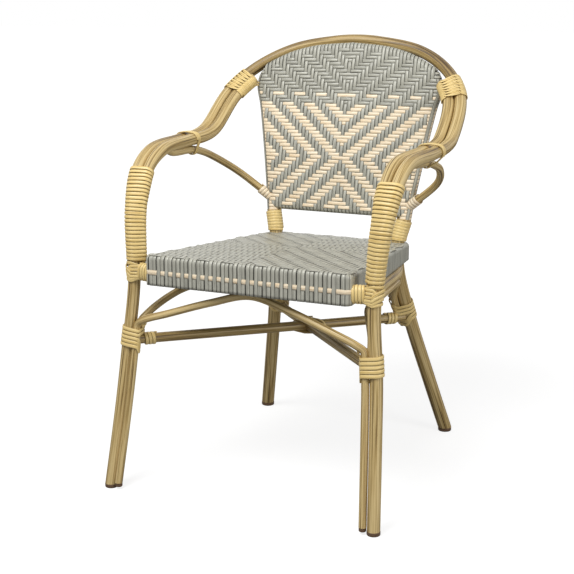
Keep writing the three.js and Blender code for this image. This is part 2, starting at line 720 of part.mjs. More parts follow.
// The side braces rise from the front lashing, run along under the side rail and drop to the rear lashing
const underRail = (y) => sideRailPoint(y).add(place(0, 0, -sideRailRadius - archBraceRadius - 2 * gap));
const sideBrace = bothSides((side) => {
  const onFront = stretcherFrontHeight + stretcherRadius + gap;
  const onRear = stretcherRearHeight + stretcherRadius + gap;
  const besideFront = (height) => besideLeg(
    frameLine[1], frameRadius, archBraceRadius, height, 1, frontStretcherTurn);
  const start = besideFront(onFront);
  const leaves = besideFront(frontLashTop);
  const [reachFront, reachMiddle, reachRear] = underRailShares
    .map((share) => underRail(mix(sideRailFrontY, sideRailEnd.y, share)));
  const besideRear = (height) => besideLeg(
    rearLeg[1].curve, rearLegRadius, archBraceRadius, height, 1, rearStretcherTurn);
  const legTop = besideRear(onRear * sideBraceDropShare);
  const legFoot = besideRear(onRear);
  const points = [
    start, leaves, ...between(leaves, reachFront, sideBraceFrontShares),
    reachFront, reachMiddle, reachRear, ...between(reachRear, legTop, sideBraceRearShares),
    legTop, legFoot,
  ];
  const curve = smoothCurve(points.map((point) => mirrorPoint(point, side)));
  return makeRun(curve, archBraceRadius, sideBraceSteps, thinTubeSides);
});

const rearBraceTop = place(0, rearBraceTopY, apronBottom(rearBraceTopY) - archBraceRadius - gap);
const rearBraceHalf = (() => {
  const rises = stretcherRearHeight + stretcherRadius + rearBraceRise;
  const beside = (height) => besideLeg(
    rearLeg[1].curve, rearLegRadius, archBraceRadius, height, 1, rearBraceTurn);
  const foot = beside(rearBraceFoot);
  const leaves = beside(rises);
  const middle = beside((rearBraceFoot + rises) / 2);
  return [foot, middle, leaves, ...between(leaves, rearBraceTop, rearBraceShares)];
})();
const rearBraceCurve = smoothCurve(withMirror(rearBraceHalf, rearBraceTop));
const rearBrace = makeRun(rearBraceCurve, archBraceRadius, rearBraceSteps, thinTubeSides);

const armBrace = bothSides((side) => {
  const inner = innerArm[1].curve;
  const under = (y, depth) => {
    const share = shareAt(inner, 'y', y, ...armLevelShares);
    const tangent = inner.getTangentAt(share);
    const below = up.clone().negate().addScaledVector(tangent, tangent.z).normalize();
    return inner.getPointAt(share).addScaledVector(below, depth);
  };
  const root = under(armBraceRootY, innerArmRadius * armBraceRootShare);
  const start = under(armBraceFrontY, innerArmRadius * armBraceStartShare);
  const end = hoopCurve.getPointAt(shareAt(hoopCurve, 'z', armBraceEndHeight, 0, 0.5));
  const points = [root, start, ...between(start, end, armBraceShares), end];
  const curve = smoothCurve(points.map((point) => mirrorPoint(point, side)));
  return makeRun(curve, armBraceRadius, armBraceSteps, thinTubeSides);
});

// Tubes as pieces

function makeLeg(name, run, bottom, top) {
  const foot = pointAtHeight(run.curve, capHeight + gap);
  const boreTop = capHeight + capStemLength + 2 * gap;
  const bore = uprightCylinder(foot, capStemRadius + gap, bottom - overrun, boreTop);
  addPiece(name, toGeometry(runSolid(run).intersect(slab(bottom, top)).subtract(bore)), paint);
}

function makeCap(name, point, rimRadius, stemRadius, bottom) {
  const profile = [
    [0, 0], [rimRadius - capEdge, 0], [rimRadius - capEdge * capEdgeShare, capEdge * capEdgeShare],
    [rimRadius, capEdge], [rimRadius, capHeight], [stemRadius, capHeight],
    [stemRadius, capHeight + capStemLength], [0, capHeight + capStemLength],
  ];
  const cap = new THREE.LatheGeometry(profile.map(([x, y]) => new THREE.Vector2(x, y)), thinTubeSides);
  cap.rotateX(Math.PI / 2);
  cap.translate(point.x, point.y, bottom);
  addPiece(name, toGeometry(toSolid(cap)), plastic);
}

const sideName = (side) => (side > 0 ? 'right' : 'left');

function makeFrame() {
  const high = archTopHeight + overrun;
  [1, -1].forEach((side) => {
    const name = sideName(side);
    makeLeg(`arm_tube_${name}`, armTube[side], capHeight + gap, high);
    makeLeg(`rear_leg_${name}`, rearLeg[side], capHeight + gap, backBottom - gap);
    addPiece(`inner_arm_tube_${name}`, tube(innerArm[side]), paint);
    const endOf = (run) => pointAtHeight(run.curve, capHeight + gap);
    const [frontEnd, rearEnd] = [endOf(armTube[side]), endOf(rearLeg[side])];
    makeCap(`front_foot_${name}`, frontEnd, frameRadius + capRim, capStemRadius, 0);
    makeCap(`rear_foot_${name}`, rearEnd, rearLegRadius + capRim, capStemRadius, 0);
    const braceEnd = mirrorPoint(pointAtHeight(frontBrace.curve, frontBraceBottom, braceFootShare), side);
    makeCap(`brace_foot_${name}`, braceEnd, archBraceRadius - gap, braceStemRadius, braceFoot);
    addPiece(`side_rail_${name}`, toGeometry(copedTube(sideRail[side], rearLeg[side])), paint);
    const met = [armTube[side], rearLeg[side], longStretcher, shortLineRun, sideRail[side]];
    addPiece(`side_brace_${name}`, toGeometry(largest(copedTube(sideBrace[side], ...met))), paint);
    const braced = largest(copedTube(armBrace[side], backRim, innerArm[side], armTube[side]));
    addPiece(`arm_brace_${name}`, toGeometry(braced), paint);
  });
  addPiece('back_arch', tube(backArch), paint);
  const braceBores = [1, -1].map((side) => uprightCylinder(
    mirrorPoint(pointAtHeight(frontBrace.curve, frontBraceBottom, braceFootShare), side),
    braceStemRadius + gap, -overrun, braceFoot + capHeight + capStemLength + 2 * gap));
  const frontArch = copedTube(frontBrace, armTube[1], armTube['-1']).intersect(slab(frontBraceBottom, high));
  addPiece('front_brace', toGeometry(frontArch.subtract(braceBores[0]).subtract(braceBores[1])), paint);
  addPiece('rear_brace', toGeometry(copedTube(rearBrace, rearLeg[1], rearLeg['-1'])), paint);
  const coped = {
    stretcher_long: copedTube(longStretcher, armTube['-1'], rearLeg[1], frontBrace),
    stretcher_front_half: copedTube(shortFront, armTube[1], longStretcher, frontBrace),
    stretcher_rear_half: copedTube(shortRear, rearLeg['-1'], longStretcher),
  };
  Object.entries(coped).forEach(([name, solid]) => addPiece(name, toGeometry(solid), paint));
}

// Cane windings

// Where a run passes through a plane nearest to a point, or null where it doesn't reach the plane
function crossing(run, point, normal) {
  run.samples ??= run.curve.getSpacedPoints(bundleSamples);
  let best = null;
  for (let i = 0; i + 1 < run.samples.length; i += 1) {
    const [a, b] = [run.samples[i], run.samples[i + 1]];
    const [before, after] = [a.clone().sub(point).dot(normal), b.clone().sub(point).dot(normal)];
    if ((before <= 0) === (after <= 0)) continue;
    const middle = a.clone().lerp(b, before / (before - after));
    const distance = middle.distanceTo(point);
    if (best === null || distance < best.distance) {
      best = { distance, middle, way: b.clone().sub(a).normalize(), radius: run.radiusAt(middle) };
    }
  }
  return best;
}

// How far a bundle of tubes reaches along a direction in the plane, the cane's middle included
function supportOf(sections, point, normal, direction, slack) {
  const reaches = sections.map(({ middle, way, radius }) => {
    const slant = way.dot(direction) / way.dot(normal);
    return middle.clone().sub(point).dot(direction) + radius * Math.sqrt(1 + slant ** 2);
  });
  return Math.max(...reaches) + slack + caneThickness / 2;
}

// A flat cane wound round a bundle: climbAt gives the length along the axis at each turn
function winding({ axis, runs, turns, climbAt, width, slack = caneSlack, hand = 1, inboard = up }) {
  const steps = Math.round(turns * caneSteps);
  const axisLength = axis.getLength();
  const places = [];
  const half = Math.PI / caneSteps;
  for (let i = 0; i <= steps; i += 1) {
    const climb = climbAt(i / caneSteps);
    const point = axis.getPointAt(climb / axisLength);
    const normal = axis.getTangentAt(climb / axisLength);
    const planes = [-width / 2, 0, width / 2].map((shift) => point.clone().addScaledVector(normal, shift));
    const sections = planes.flatMap((plane) => runs.map((run) => crossing(run, plane, normal)))
      .filter((found) => found && found.distance < bundleReach);
    const across = inboard.clone().addScaledVector(normal, -inboard.dot(normal)).normalize();
    const round = normal.clone().cross(across).multiplyScalar(hand);
    const wayAt = (angle) => across.clone().multiplyScalar(Math.cos(angle))
      .addScaledVector(round, Math.sin(angle));
    const angle = 2 * half * i;
    const before = supportOf(sections, point, normal, wayAt(angle - half), slack);
    const after = supportOf(sections, point, normal, wayAt(angle + half), slack);
    const corner = point.clone()
      .addScaledVector(wayAt(angle), (before + after) / 2 / Math.cos(half))
      .addScaledVector(wayAt(angle + Math.PI / 2), (after - before) / 2 / Math.sin(half));
    places.push({ corner, normal: normal.multiplyScalar(hand) });
  }
  return caneAlong(places, width);
}

// The cane's ends run straight on for its own thickness
function caneAlong(places, width) {
  const last = places.length - 1;
  const straightOn = (from, to) => {
    const way = to.corner.clone().sub(from.corner).normalize();
    return to.corner.clone().addScaledVector(way, caneThickness);
  };
  const line = [
    { corner: straightOn(places[1], places[0]), normal: places[0].normal },
    ...places,
    { corner: straightOn(places[last - 1], places[last]), normal: places[last].normal },
  ];
  const [halfWidth, halfThick] = [width / 2, caneThickness / 2];
  const section = [
    [-halfWidth, -halfThick], [halfWidth, -halfThick], [halfWidth, halfThick * caneCrownShare],
    [0, halfThick], [-halfWidth, halfThick * caneCrownShare],
  ];
  return line.map(({ corner, normal }, i) => {
    const [before, after] = [line[Math.max(i - 1, 0)], line[Math.min(i + 1, line.length - 1)]];
    const way = after.corner.clone().sub(before.corner).normalize();
    const across = normal.clone().addScaledVector(way, -normal.dot(way)).normalize();
    const out = way.clone().cross(across);
    return section.map(([a, b]) => corner.clone().addScaledVector(across, a).addScaledVector(out, b));
  });
}

// The least clear width between the edges of neighbouring turns, on the cane's points
function leastGap(rings) {
  let least = Infinity;
  for (let i = 0; i + caneSteps < rings.length; i += 1) {
    const [here, next] = [rings[i], rings[i + caneSteps]];
    const across = here[1].clone().sub(here[0]).normalize();
    const rise = Math.sign(next[3].clone().sub(here[3]).dot(across));
    const [from, to] = rise > 0 ? [[1, 2], [0, 4]] : [[0, 4], [1, 2]];
    from.forEach((a, j) => {
      least = Math.min(least, rise * next[to[j]].clone().sub(here[a]).dot(across));
    });
  }
  return least;
}

function addWinding(name, options) {
  const rings = winding(options);
  console.log(`${name}: least gap between turns ${leastGap(rings).toFixed(2)} mm`);
  addPiece(name, skin(rings), cane);
}

// Turns that part to pass below and above a tube that meets the leg, and draw together on the leg's free side.
// The tube lies at passShare of a turn from inboard; low and high are the lengths that clear it.
function climbPast(low, high, passShare, fanShare = passFanShare) {
  const middleTurn = turnsBelow - 1 / 2 + passShare;
  return (turn) => {
    const away = Math.abs(turn - passShare - Math.round(turn - passShare));
    const beside = THREE.MathUtils.smoothstep(1 / 2 - away, 0, 1 / 2 - passFlatShare);
    const rise = THREE.MathUtils.smoothstep(turn - middleTurn, -passClimbShare, passClimbShare) - 1 / 2;
    const parted = (high - low - lashPitch) * rise * mix(1, beside, fanShare);
    return (low + high) / 2 + lashPitch * (turn - middleTurn) + parted;
  };
}

// The lengths along a leg at which a cane clears the stretcher below and above, where it rounds the brace
function passLengths(line, height, turn, legRadius, margin, side) {
  const share = shareAt(line, 'z', height);
  const lean = sideways(up, side, turn).dot(line.getTangentAt(share));
  const middle = share * line.getLength() + (legRadius + 2 * archBraceRadius + caneThickness) * lean;
  const reach = stretcherRadius + margin + lashCane / 2;
  return [middle - reach, middle + reach];
}

function makeArmWindings(side) {
  const name = sideName(side);
  const line = frameLine[side];
  const length = line.getLength();
  const inboard = place(-side, 0, 0);
  const runs = [armTube[side], innerArm[side]];
  const lengthAt = (height) => shareAt(line, 'z', height) * length;
  const [bottom, top] = [lengthAt(armWrapBottom), lengthAt(armWrapTop)];
  const armWrapTurns = Math.round((top - bottom) / armWrapPitch);
  addWinding(`arm_wrap_${name}`, {
    axis: line, runs, turns: armWrapTurns, width: armWrapCane, inboard, hand: side,
    climbAt: (turn) => mix(bottom, top, turn / armWrapTurns),
  });
  const shoulder = lengthAt(shoulderHeight) - innerArmRadius;
  addWinding(`top_lashing_${name}`, {
    axis: line, runs: [...runs, backArch], turns: topLashTurns, width: topLashCane, inboard, hand: side,
    climbAt: (turn) => shoulder + topLashPitch * (turn - topLashTurns / 2),
  });
  const middle = shareAt(line, 'y', midLashY, shareAt(line, 'z', armFrontHeight), 1) * length;
  addWinding(`mid_arm_lashing_${name}`, {
    axis: line, runs: [...runs, armBrace[side]], turns: midLashTurns, width: lashCane, inboard, hand: side,
    climbAt: (turn) => middle + midLashPitch * (turn - midLashTurns / 2),
  });
  const stubReach = stubHeight / 2 + passMargin + lashCane / 2;
  const [under, over] = [lengthAt(stubCentre - stubReach), lengthAt(stubCentre + stubReach)];
  addWinding(`seat_corner_lashing_${name}`, {
    axis: line, runs, turns: seatCornerTurns, width: lashCane, inboard, hand: side,
    climbAt: climbPast(under, over, 0),
  });
  const [low, high] = passLengths(
    line, stretcherFrontHeight, frontStretcherTurn, frameRadius, passMargin, side);
  addWinding(`front_lashing_${name}`, {
    axis: line, runs: [armTube[side], frontBrace, sideBrace[side]], turns: lashTurns, width: lashCane,
    inboard, hand: side,
    climbAt: climbPast(low, high, 1 + frontStretcherTurn / fullTurn),
  });
}

function makeRearWindings(side) {
  const name = sideName(side);
  const line = rearLeg[side].curve;
  const length = line.getLength();
  const inboard = place(-side, 0, 0);
  const lengthAt = (height) => shareAt(line, 'z', height) * length;
  const [low, high] = passLengths(
    line, stretcherRearHeight, rearStretcherTurn, rearLegRadius, rearPassMargin, side);
  addWinding(`rear_lashing_${name}`, {
    axis: line, runs: [rearLeg[side], sideBrace[side], rearBrace], turns: lashTurns, width: lashCane,
    inboard, hand: side,
    climbAt: climbPast(low, high, rearStretcherTurn / fullTurn, rearPassFanShare),
  });
  const seatTopAtPost = seatTop(postHalfWidth, postY);
  const first = lengthAt(seatTopAtPost + lashCane / 2 + postWrapFoot);
  const last = lengthAt(backBottom - lashCane / 2 - postWrapClear);
  const turns = Math.floor((last - first) / (lashPitch + caneSlack));
  addWinding(`post_wrap_${name}`, {
    axis: line, runs: [rearLeg[side]], turns, width: lashCane, inboard, hand: side,
    climbAt: (turn) => mix(first, last, turn / turns),
  });
}

function makeCollar(name, run, legRadius, clear, fromEnd) {
  const length = run.curve.getLength();
  const first = legRadius + 2 * archBraceRadius + clear + lashCane / 2;
  const climbAt = (turn) => (fromEnd ? length - first - lashPitch * turn : first + lashPitch * turn);
  addWinding(name, {
    axis: run.curve, runs: [run], turns: collarTurns, width: lashCane, slack: collarSlack, climbAt,
  });
}

function makeWindings() {
  [1, -1].forEach((side) => {
    makeArmWindings(side);
    makeRearWindings(side);
  });
  makeCollar('collar_front_left', longStretcher, frameRadius, frontCollarClear, false);
  makeCollar('collar_rear_right', longStretcher, rearLegRadius, rearCollarClear, true);
  makeCollar('collar_front_right', shortLineRun, frameRadius, frontCollarClear, false);
  makeCollar('collar_rear_left', shortLineRun, rearLegRadius, rearCollarClear, true);
  const crossY = shortLine.getPointAt(crossShare);
  const middleLine = new THREE.LineCurve3(
    place(0, crossY.y - overrun, crossY.z), place(0, crossY.y + overrun, crossY.z));
  addWinding('cross_lashing', {
    axis: middleLine, runs: [longStretcher, shortLineRun], turns: crossLashTurns, width: lashCane,
    climbAt: (turn) => overrun + (lashPitch + caneSlack) * (turn - crossLashTurns / 2),
  });
}

makeFrame();
makeBack();
makeSeat();
makeWindings();

export default chair;
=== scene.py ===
# Rattan bistro armchair: painted tubes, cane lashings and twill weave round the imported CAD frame
import math

import bmesh
import bpy
import numpy as np
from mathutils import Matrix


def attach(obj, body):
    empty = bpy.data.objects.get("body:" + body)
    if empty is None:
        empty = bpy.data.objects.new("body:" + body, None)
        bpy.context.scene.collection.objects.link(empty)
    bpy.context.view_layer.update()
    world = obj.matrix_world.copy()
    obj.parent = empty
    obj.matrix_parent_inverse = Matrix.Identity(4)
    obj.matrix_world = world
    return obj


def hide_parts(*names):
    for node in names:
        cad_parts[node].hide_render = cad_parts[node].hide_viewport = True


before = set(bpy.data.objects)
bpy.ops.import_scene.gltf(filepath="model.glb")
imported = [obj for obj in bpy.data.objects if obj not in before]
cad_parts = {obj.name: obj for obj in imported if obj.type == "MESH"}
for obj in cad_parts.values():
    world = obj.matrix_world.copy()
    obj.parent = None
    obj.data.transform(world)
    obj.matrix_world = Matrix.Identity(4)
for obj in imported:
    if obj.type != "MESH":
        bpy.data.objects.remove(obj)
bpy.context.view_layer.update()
print("frame loaded")

mm = 0.001  # the values below are in millimetres
body = "root"
sides = {"Right": 1, "Left": -1}  # as someone who looks at the front of the chair sees them

# Camera and studio


def linearColour(code):
    # sRGB hex to linear
    parts = [int(code[i:i + 2], 16) / 255 for i in (1, 3, 5)]
    return tuple(c / 12.92 if c <= 0.04045 else ((c + 0.055) / 1.055) ** 2.4 for c in parts) + (1.0,)


def addNode(tree, kind, settings=None, links=None):
    node = tree.nodes.new(kind)
    for name, value in (settings or {}).items():
        setattr(node, name, value)
    for socket, source in (links or {}).items():
        if isinstance(source, bpy.types.NodeSocket):
            tree.links.new(source, node.inputs[socket])
        else:
            node.inputs[socket].default_value = source
    return node


studio = {
    "target": (-39, 12, 370),
    "turn": 24.77,  # degrees round from the front, to the chair's right
    "height": 13.01,  # degrees above level
    "distance": 2659,
    "imageSize": 574,
    "focalPixels": 1268,
    "sensor": 36,
    "floor": 60000,
    "worldStrength": 0.3,
    "keyEnergy": 54,
    "keyPlace": (-400, -1500, 2600),
    "keySize": 1500,
    "fillEnergy": 24,
    "fillPlace": (2600, -800, 1300),
    "fillSize": 1300,
    "lampTarget": (0, 0, 400),
    "paperGrey": 0.35,
    "shadowLift": 0.8,  # how light the paper is by itself under the chair, and far from it
    "farLift": 1.0,
    "liftNear": 0.7,  # metres from the chair's middle, between which the one turns into the other
    "liftFar": 2.2,
}


def aimAt(place, target):
    way = np.array(target, float) - np.array(place, float)
    flat = math.hypot(way[0], way[1])
    return (math.atan2(flat, -way[2]), 0, math.atan2(way[1], way[0]) - math.pi / 2)


def makeCamera():
    turn, height = math.radians(studio["turn"]), math.radians(studio["height"])
    back = np.array([math.sin(turn) * math.cos(height), -math.cos(turn) * math.cos(height), math.sin(height)])
    place = np.array(studio["target"]) + back * studio["distance"]
    data = bpy.data.cameras.new("photoView")
    data.sensor_fit = "HORIZONTAL"
    data.sensor_width = studio["sensor"]
    data.lens = studio["focalPixels"] / studio["imageSize"] * studio["sensor"]
    camera = bpy.data.objects.new("photoView", data)
    camera.location = place * mm
    camera.rotation_euler = aimAt(place, studio["target"])
    bpy.context.scene.collection.objects.link(camera)
    bpy.context.scene.camera = camera


def makeLamp(name, energy, place, size):
    data = bpy.data.lights.new(name, "AREA")
    data.shape = "DISK"
    data.size = size * mm
    data.energy = energy
    lamp = bpy.data.objects.new(name, data)
    lamp.location = np.array(place) * mm
    lamp.rotation_euler = aimAt(place, studio["lampTarget"])
    bpy.context.scene.collection.objects.link(lamp)


def makeStudio():
    makeCamera()
    makeLamp("softKey", studio["keyEnergy"], studio["keyPlace"], studio["keySize"])
    makeLamp("softFill", studio["fillEnergy"], studio["fillPlace"], studio["fillSize"])
    world = bpy.data.worlds.new("paleStudio")
    world.use_nodes = True
    bpy.context.scene.world = world
    tree = world.node_tree
    tree.nodes.clear()
    seen = addNode(tree, "ShaderNodeLightPath")
    # The camera and gloss see white, and the object gets plain light
    direct = addNode(tree, "ShaderNodeMath", {"operation": "MAXIMUM"},
                     {0: seen.outputs["Is Camera Ray"], 1: seen.outputs["Is Transmission Ray"]})
    white = addNode(tree, "ShaderNodeMath", {"operation": "MAXIMUM"},
                    {0: direct.outputs[0], 1: seen.outputs["Is Glossy Ray"]})
    strength = addNode(tree, "ShaderNodeMix", {"data_type": "FLOAT"},
                       {"Factor": white.outputs[0], "A": studio["worldStrength"], "B": 1.0})
    sky = addNode(tree, "ShaderNodeBackground", None, {"Color": (1, 1, 1, 1), "Strength": strength.outputs["Result"]})
    addNode(tree, "ShaderNodeOutputWorld", None, {"Surface": sky.outputs[0]})
    bpy.context.scene.view_settings.view_transform = "Standard"
    mesh = bpy.data.meshes.new("studioFloor")
    half = studio["floor"] * mm / 2
    mesh.from_pydata([(-half, -half, 0), (half, -half, 0), (half, half, 0), (-half, half, 0)], [], [(0, 1, 2, 3)])
    floor = bpy.data.objects.new("studioFloor", mesh)
    bpy.context.scene.collection.objects.link(floor)
    paper = bpy.data.materials.new("mattPaper")
    paper.use_nodes = True
    tree = paper.node_tree
    tree.nodes.clear()
    seen = addNode(tree, "ShaderNodeLightPath")
    paperBody = addNode(tree, "ShaderNodeBsdfDiffuse", None, {"Color": (studio["paperGrey"],) * 3 + (1,)})
    # The camera sees the paper lifted to white, more so away from the chair, and the shadow stays
    place = addNode(tree, "ShaderNodeTexCoord")
    distance = addNode(tree, "ShaderNodeVectorMath", {"operation": "LENGTH"}, {0: place.outputs["Object"]})
    farther = addNode(tree, "ShaderNodeMapRange", None, {
        "Value": distance.outputs["Value"], "From Min": studio["liftNear"], "From Max": studio["liftFar"],
        "To Min": studio["shadowLift"], "To Max": studio["farLift"]})
    lift = addNode(tree, "ShaderNodeMath", {"operation": "MULTIPLY"},
                   {0: seen.outputs["Is Camera Ray"], 1: farther.outputs["Result"]})
    glow = addNode(tree, "ShaderNodeEmission", None, {"Strength": lift.outputs[0]})
    both = addNode(tree, "ShaderNodeAddShader", None, {0: paperBody.outputs[0], 1: glow.outputs[0]})
    addNode(tree, "ShaderNodeOutputMaterial", None, {"Surface": both.outputs[0]})
    mesh.materials.append(paper)


makeStudio()
print("camera and studio ready")

# Materials

# Grain and streak sizes are in millimetres, along and across the piece; stops place the three colours; the last value
# is how dark the painted shade at a strand's edges gets
finishes = {
    # Aluminium tube, powder coated and printed like peeled rattan: satin, with brown streaks along the tube
    "printedTube": {
        "pale": "#DAC28B", "dark": "#AE9259", "vein": "#4A3416", "stops": (0.37, 0.465, 0.56),
        "grainLength": 150, "grainWidth": 1.2, "streakLength": 240, "streakWidth": 5.0,
        "roughness": 0.42, "paintedEdgeShade": 0.0},
    # Flat extruded PE strand in honey: semi-gloss, with shallow grooves along it
    "honeyStrand": {
        "pale": "#F7DD9B", "dark": "#EBCD86", "vein": "#CBA85C", "stops": (0.36, 0.47, 0.62),
        "grainLength": 60, "grainWidth": 0.8, "streakLength": 90, "streakWidth": 3.0,
        "roughness": 0.38, "paintedEdgeShade": 0.4},
    # Flat extruded PE strand in grey-green: satin, with painted shade towards its edges
    "greyStrand": {
        "pale": "#C6C5B8", "dark": "#A8A79A", "vein": "#82817A", "stops": (0.36, 0.47, 0.62),
        "grainLength": 40, "grainWidth": 0.7, "streakLength": 60, "streakWidth": 2.5,
        "roughness": 0.36, "paintedEdgeShade": 0.8},
    # The same strand in cream
    "creamStrand": {
        "pale": "#FFF2D8", "dark": "#F8E2BF", "vein": "#E6C394", "stops": (0.36, 0.47, 0.62),
        "grainLength": 40, "grainWidth": 0.7, "streakLength": 30, "streakWidth": 2.5,
        "roughness": 0.4, "paintedEdgeShade": 0.3},
}


def strandMaterial(name):
    # Colour grain stretched along the piece, from its own length and rim; each strand a little different
    finish = finishes[name]
    material = bpy.data.materials.new(name)
    material.use_nodes = True
    tree = material.node_tree
    tree.nodes.clear()
    along = addNode(tree, "ShaderNodeAttribute", {"attribute_name": "along"})
    rim = addNode(tree, "ShaderNodeAttribute", {"attribute_name": "rim"})
    own = addNode(tree, "ShaderNodeAttribute", {"attribute_name": "own"})
    flat = addNode(tree, "ShaderNodeSeparateXYZ", None, {0: rim.outputs["Vector"]})
    textures = []
    for length, width in (("grainLength", "grainWidth"), ("streakLength", "streakWidth")):
        # One unit of the pattern is one grain, in metres along the piece and round its rim
        lengthways = addNode(tree, "ShaderNodeMath", {"operation": "MULTIPLY_ADD"},
                             {0: along.outputs["Fac"], 1: 1000 / finish[length], 2: own.outputs["Fac"]})
        across = addNode(tree, "ShaderNodeMath", {"operation": "MULTIPLY"},
                         {0: flat.outputs[0], 1: 1000 / finish[width]})
        deep = addNode(tree, "ShaderNodeMath", {"operation": "MULTIPLY"},
                       {0: flat.outputs[1], 1: 1000 / finish[width]})
        place = addNode(tree, "ShaderNodeCombineXYZ", None,
                        {0: across.outputs[0], 1: deep.outputs[0], 2: lengthways.outputs[0]})
        textures.append(addNode(tree, "ShaderNodeTexNoise", None,
                                {"Vector": place.outputs[0], "Scale": 1.0, "Detail": 3.0, "Roughness": 0.6}))
    grain, streak = textures
    tone = addNode(tree, "ShaderNodeMix", {"data_type": "FLOAT"},
                   {"Factor": 0.55, "A": grain.outputs["Fac"], "B": streak.outputs["Fac"]})
    # own shifts the tone by 0.005 a unit: a random tone for each strand, and painted shade on the tubes given a
    # negative value
    shade = addNode(tree, "ShaderNodeMath", {"operation": "MULTIPLY_ADD"},
                    {0: own.outputs["Fac"], 1: 0.005, 2: tone.outputs["Result"]})
    ramp = addNode(tree, "ShaderNodeValToRGB", None, {"Fac": shade.outputs[0]})
    stops = ramp.color_ramp.elements
    stops[0].position, stops[0].color = finish["stops"][0], linearColour(finish["vein"])
    stops[1].position, stops[1].color = finish["stops"][2], linearColour(finish["pale"])
    middle = stops.new(finish["stops"][1])
    middle.color = linearColour(finish["dark"])
    colour = ramp.outputs["Color"]
    if finish["paintedEdgeShade"]:
        # Painted shade: flat strands darken to a dark brown at their edges, standing in for the shadow between
        # neighbouring strands
        edge = addNode(tree, "ShaderNodeAttribute", {"attribute_name": "edge"})
        near = addNode(tree, "ShaderNodeMapRange", {"interpolation_type": "SMOOTHSTEP"}, {
            "Value": edge.outputs["Fac"], "From Min": 0.55, "From Max": 0.98, "To Max": finish["paintedEdgeShade"]})
        shaded = addNode(tree, "ShaderNodeMix", {"data_type": "RGBA", "blend_type": "MULTIPLY"},
                         {"Factor": near.outputs["Result"]})
        tree.links.new(colour, shaded.inputs[6])
        shaded.inputs[7].default_value = linearColour("#3A352C")
        colour = shaded.outputs[2]
    bump = addNode(tree, "ShaderNodeBump", None, {
        "Height": grain.outputs["Fac"], "Strength": 0.15, "Distance": 0.4 * mm})
    skin = addNode(tree, "ShaderNodeBsdfPrincipled", None, {
        "Base Color": colour, "Roughness": finish["roughness"], "IOR": 1.5, "Normal": bump.outputs["Normal"]})
    addNode(tree, "ShaderNodeOutputMaterial", None, {"Surface": skin.outputs[0]})
    return material


def mouldedMaterial():
    # Polypropylene cap, injection moulded: dull, with a faint mottle
    material = bpy.data.materials.new("mouldedPolypropylene")
    material.use_nodes = True
    tree = material.node_tree
    tree.nodes.clear()
    place = addNode(tree, "ShaderNodeTexCoord")
    # A mottle of about 2.4 mm
    mottle = addNode(tree, "ShaderNodeTexNoise", None, {
        "Vector": place.outputs["Object"], "Scale": 420.0, "Detail": 3.0})
    ramp = addNode(tree, "ShaderNodeValToRGB", None, {"Fac": mottle.outputs["Fac"]})
    stops = ramp.color_ramp.elements
    stops[0].position, stops[0].color = 0.35, linearColour("#5A4330")
    stops[1].position, stops[1].color = 0.7, linearColour("#745A41")
    bump = addNode(tree, "ShaderNodeBump", None, {
        "Height": mottle.outputs["Fac"], "Strength": 0.15, "Distance": 0.2 * mm})
    skin = addNode(tree, "ShaderNodeBsdfPrincipled", None, {
        "Base Color": ramp.outputs["Color"], "Roughness": 0.6, "Normal": bump.outputs["Normal"]})
    addNode(tree, "ShaderNodeOutputMaterial", None, {"Surface": skin.outputs[0]})
    return material


def millMaterial():
    # Extruded aluminium in mill finish, hidden by the weave: drawn lines along each rail
    material = bpy.data.materials.new("millAluminium")
    material.use_nodes = True
    tree = material.node_tree
    tree.nodes.clear()
    place = addNode(tree, "ShaderNodeTexCoord")
    # Lines about 80 mm long and 1.1 mm wide
    stretch = addNode(tree, "ShaderNodeMapping", None, {"Vector": place.outputs["Object"], "Scale": (12, 12, 900)})
    lines = addNode(tree, "ShaderNodeTexNoise", None, {"Vector": stretch.outputs[0], "Scale": 1.0, "Detail": 4.0})
    ramp = addNode(tree, "ShaderNodeValToRGB", None, {"Fac": lines.outputs["Fac"]})
    stops = ramp.color_ramp.elements
    stops[0].position, stops[0].color = 0.3, linearColour("#8D8E90")
    stops[1].position, stops[1].color = 0.7, linearColour("#A9AAAC")
    skin = addNode(tree, "ShaderNodeBsdfPrincipled", None, {
        "Base Color": ramp.outputs["Color"], "Metallic": 0.9, "Roughness": 0.45})
    addNode(tree, "ShaderNodeOutputMaterial", None, {"Surface": skin.outputs[0]})
    return material


materials = {name: strandMaterial(name) for name in finishes}
materials["mouldedPolypropylene"] = mouldedMaterial()
materials["millAluminium"] = millMaterial()
print("materials ready")

# Lines: the middle of a tube or a strand


def evenly(points, spacing):
    points = np.array(points, float)
    lengths = np.concatenate([[0], np.cumsum(np.linalg.norm(np.diff(points, axis=0), axis=1))])
    count = max(int(round(lengths[-1] / spacing)), 1)
    wanted = np.linspace(0, lengths[-1], count + 1)
    return np.stack([np.interp(wanted, lengths, points[:, axis]) for axis in range(3)], axis=1)


def smoothLine(places, spacing=3.0):
    # Centripetal Catmull-Rom through the places, as the CAD tubes run
    places = [np.array(place, float) for place in places]
    places = [2 * places[0] - places[1]] + places + [2 * places[-1] - places[-2]]
    line = []
    for a, b, c, d in zip(places, places[1:], places[2:], places[3:]):
        first, second, third = (max(np.linalg.norm(q - p) ** 0.5, 1e-4) for p, q in ((a, b), (b, c), (c, d)))
        leave = ((b - a) / first - (c - a) / (first + second) + (c - b) / second) * second
        arrive = ((c - b) / second - (d - b) / (second + third) + (d - c) / third) * second
        for t in np.linspace(0, 1, 60, endpoint=False):
            line.append(b + leave * t + (3 * (c - b) - 2 * leave - arrive) * t ** 2
                        + (2 * (b - c) + leave + arrive) * t ** 3)
    line.append(places[-2])
    return evenly(line, spacing)


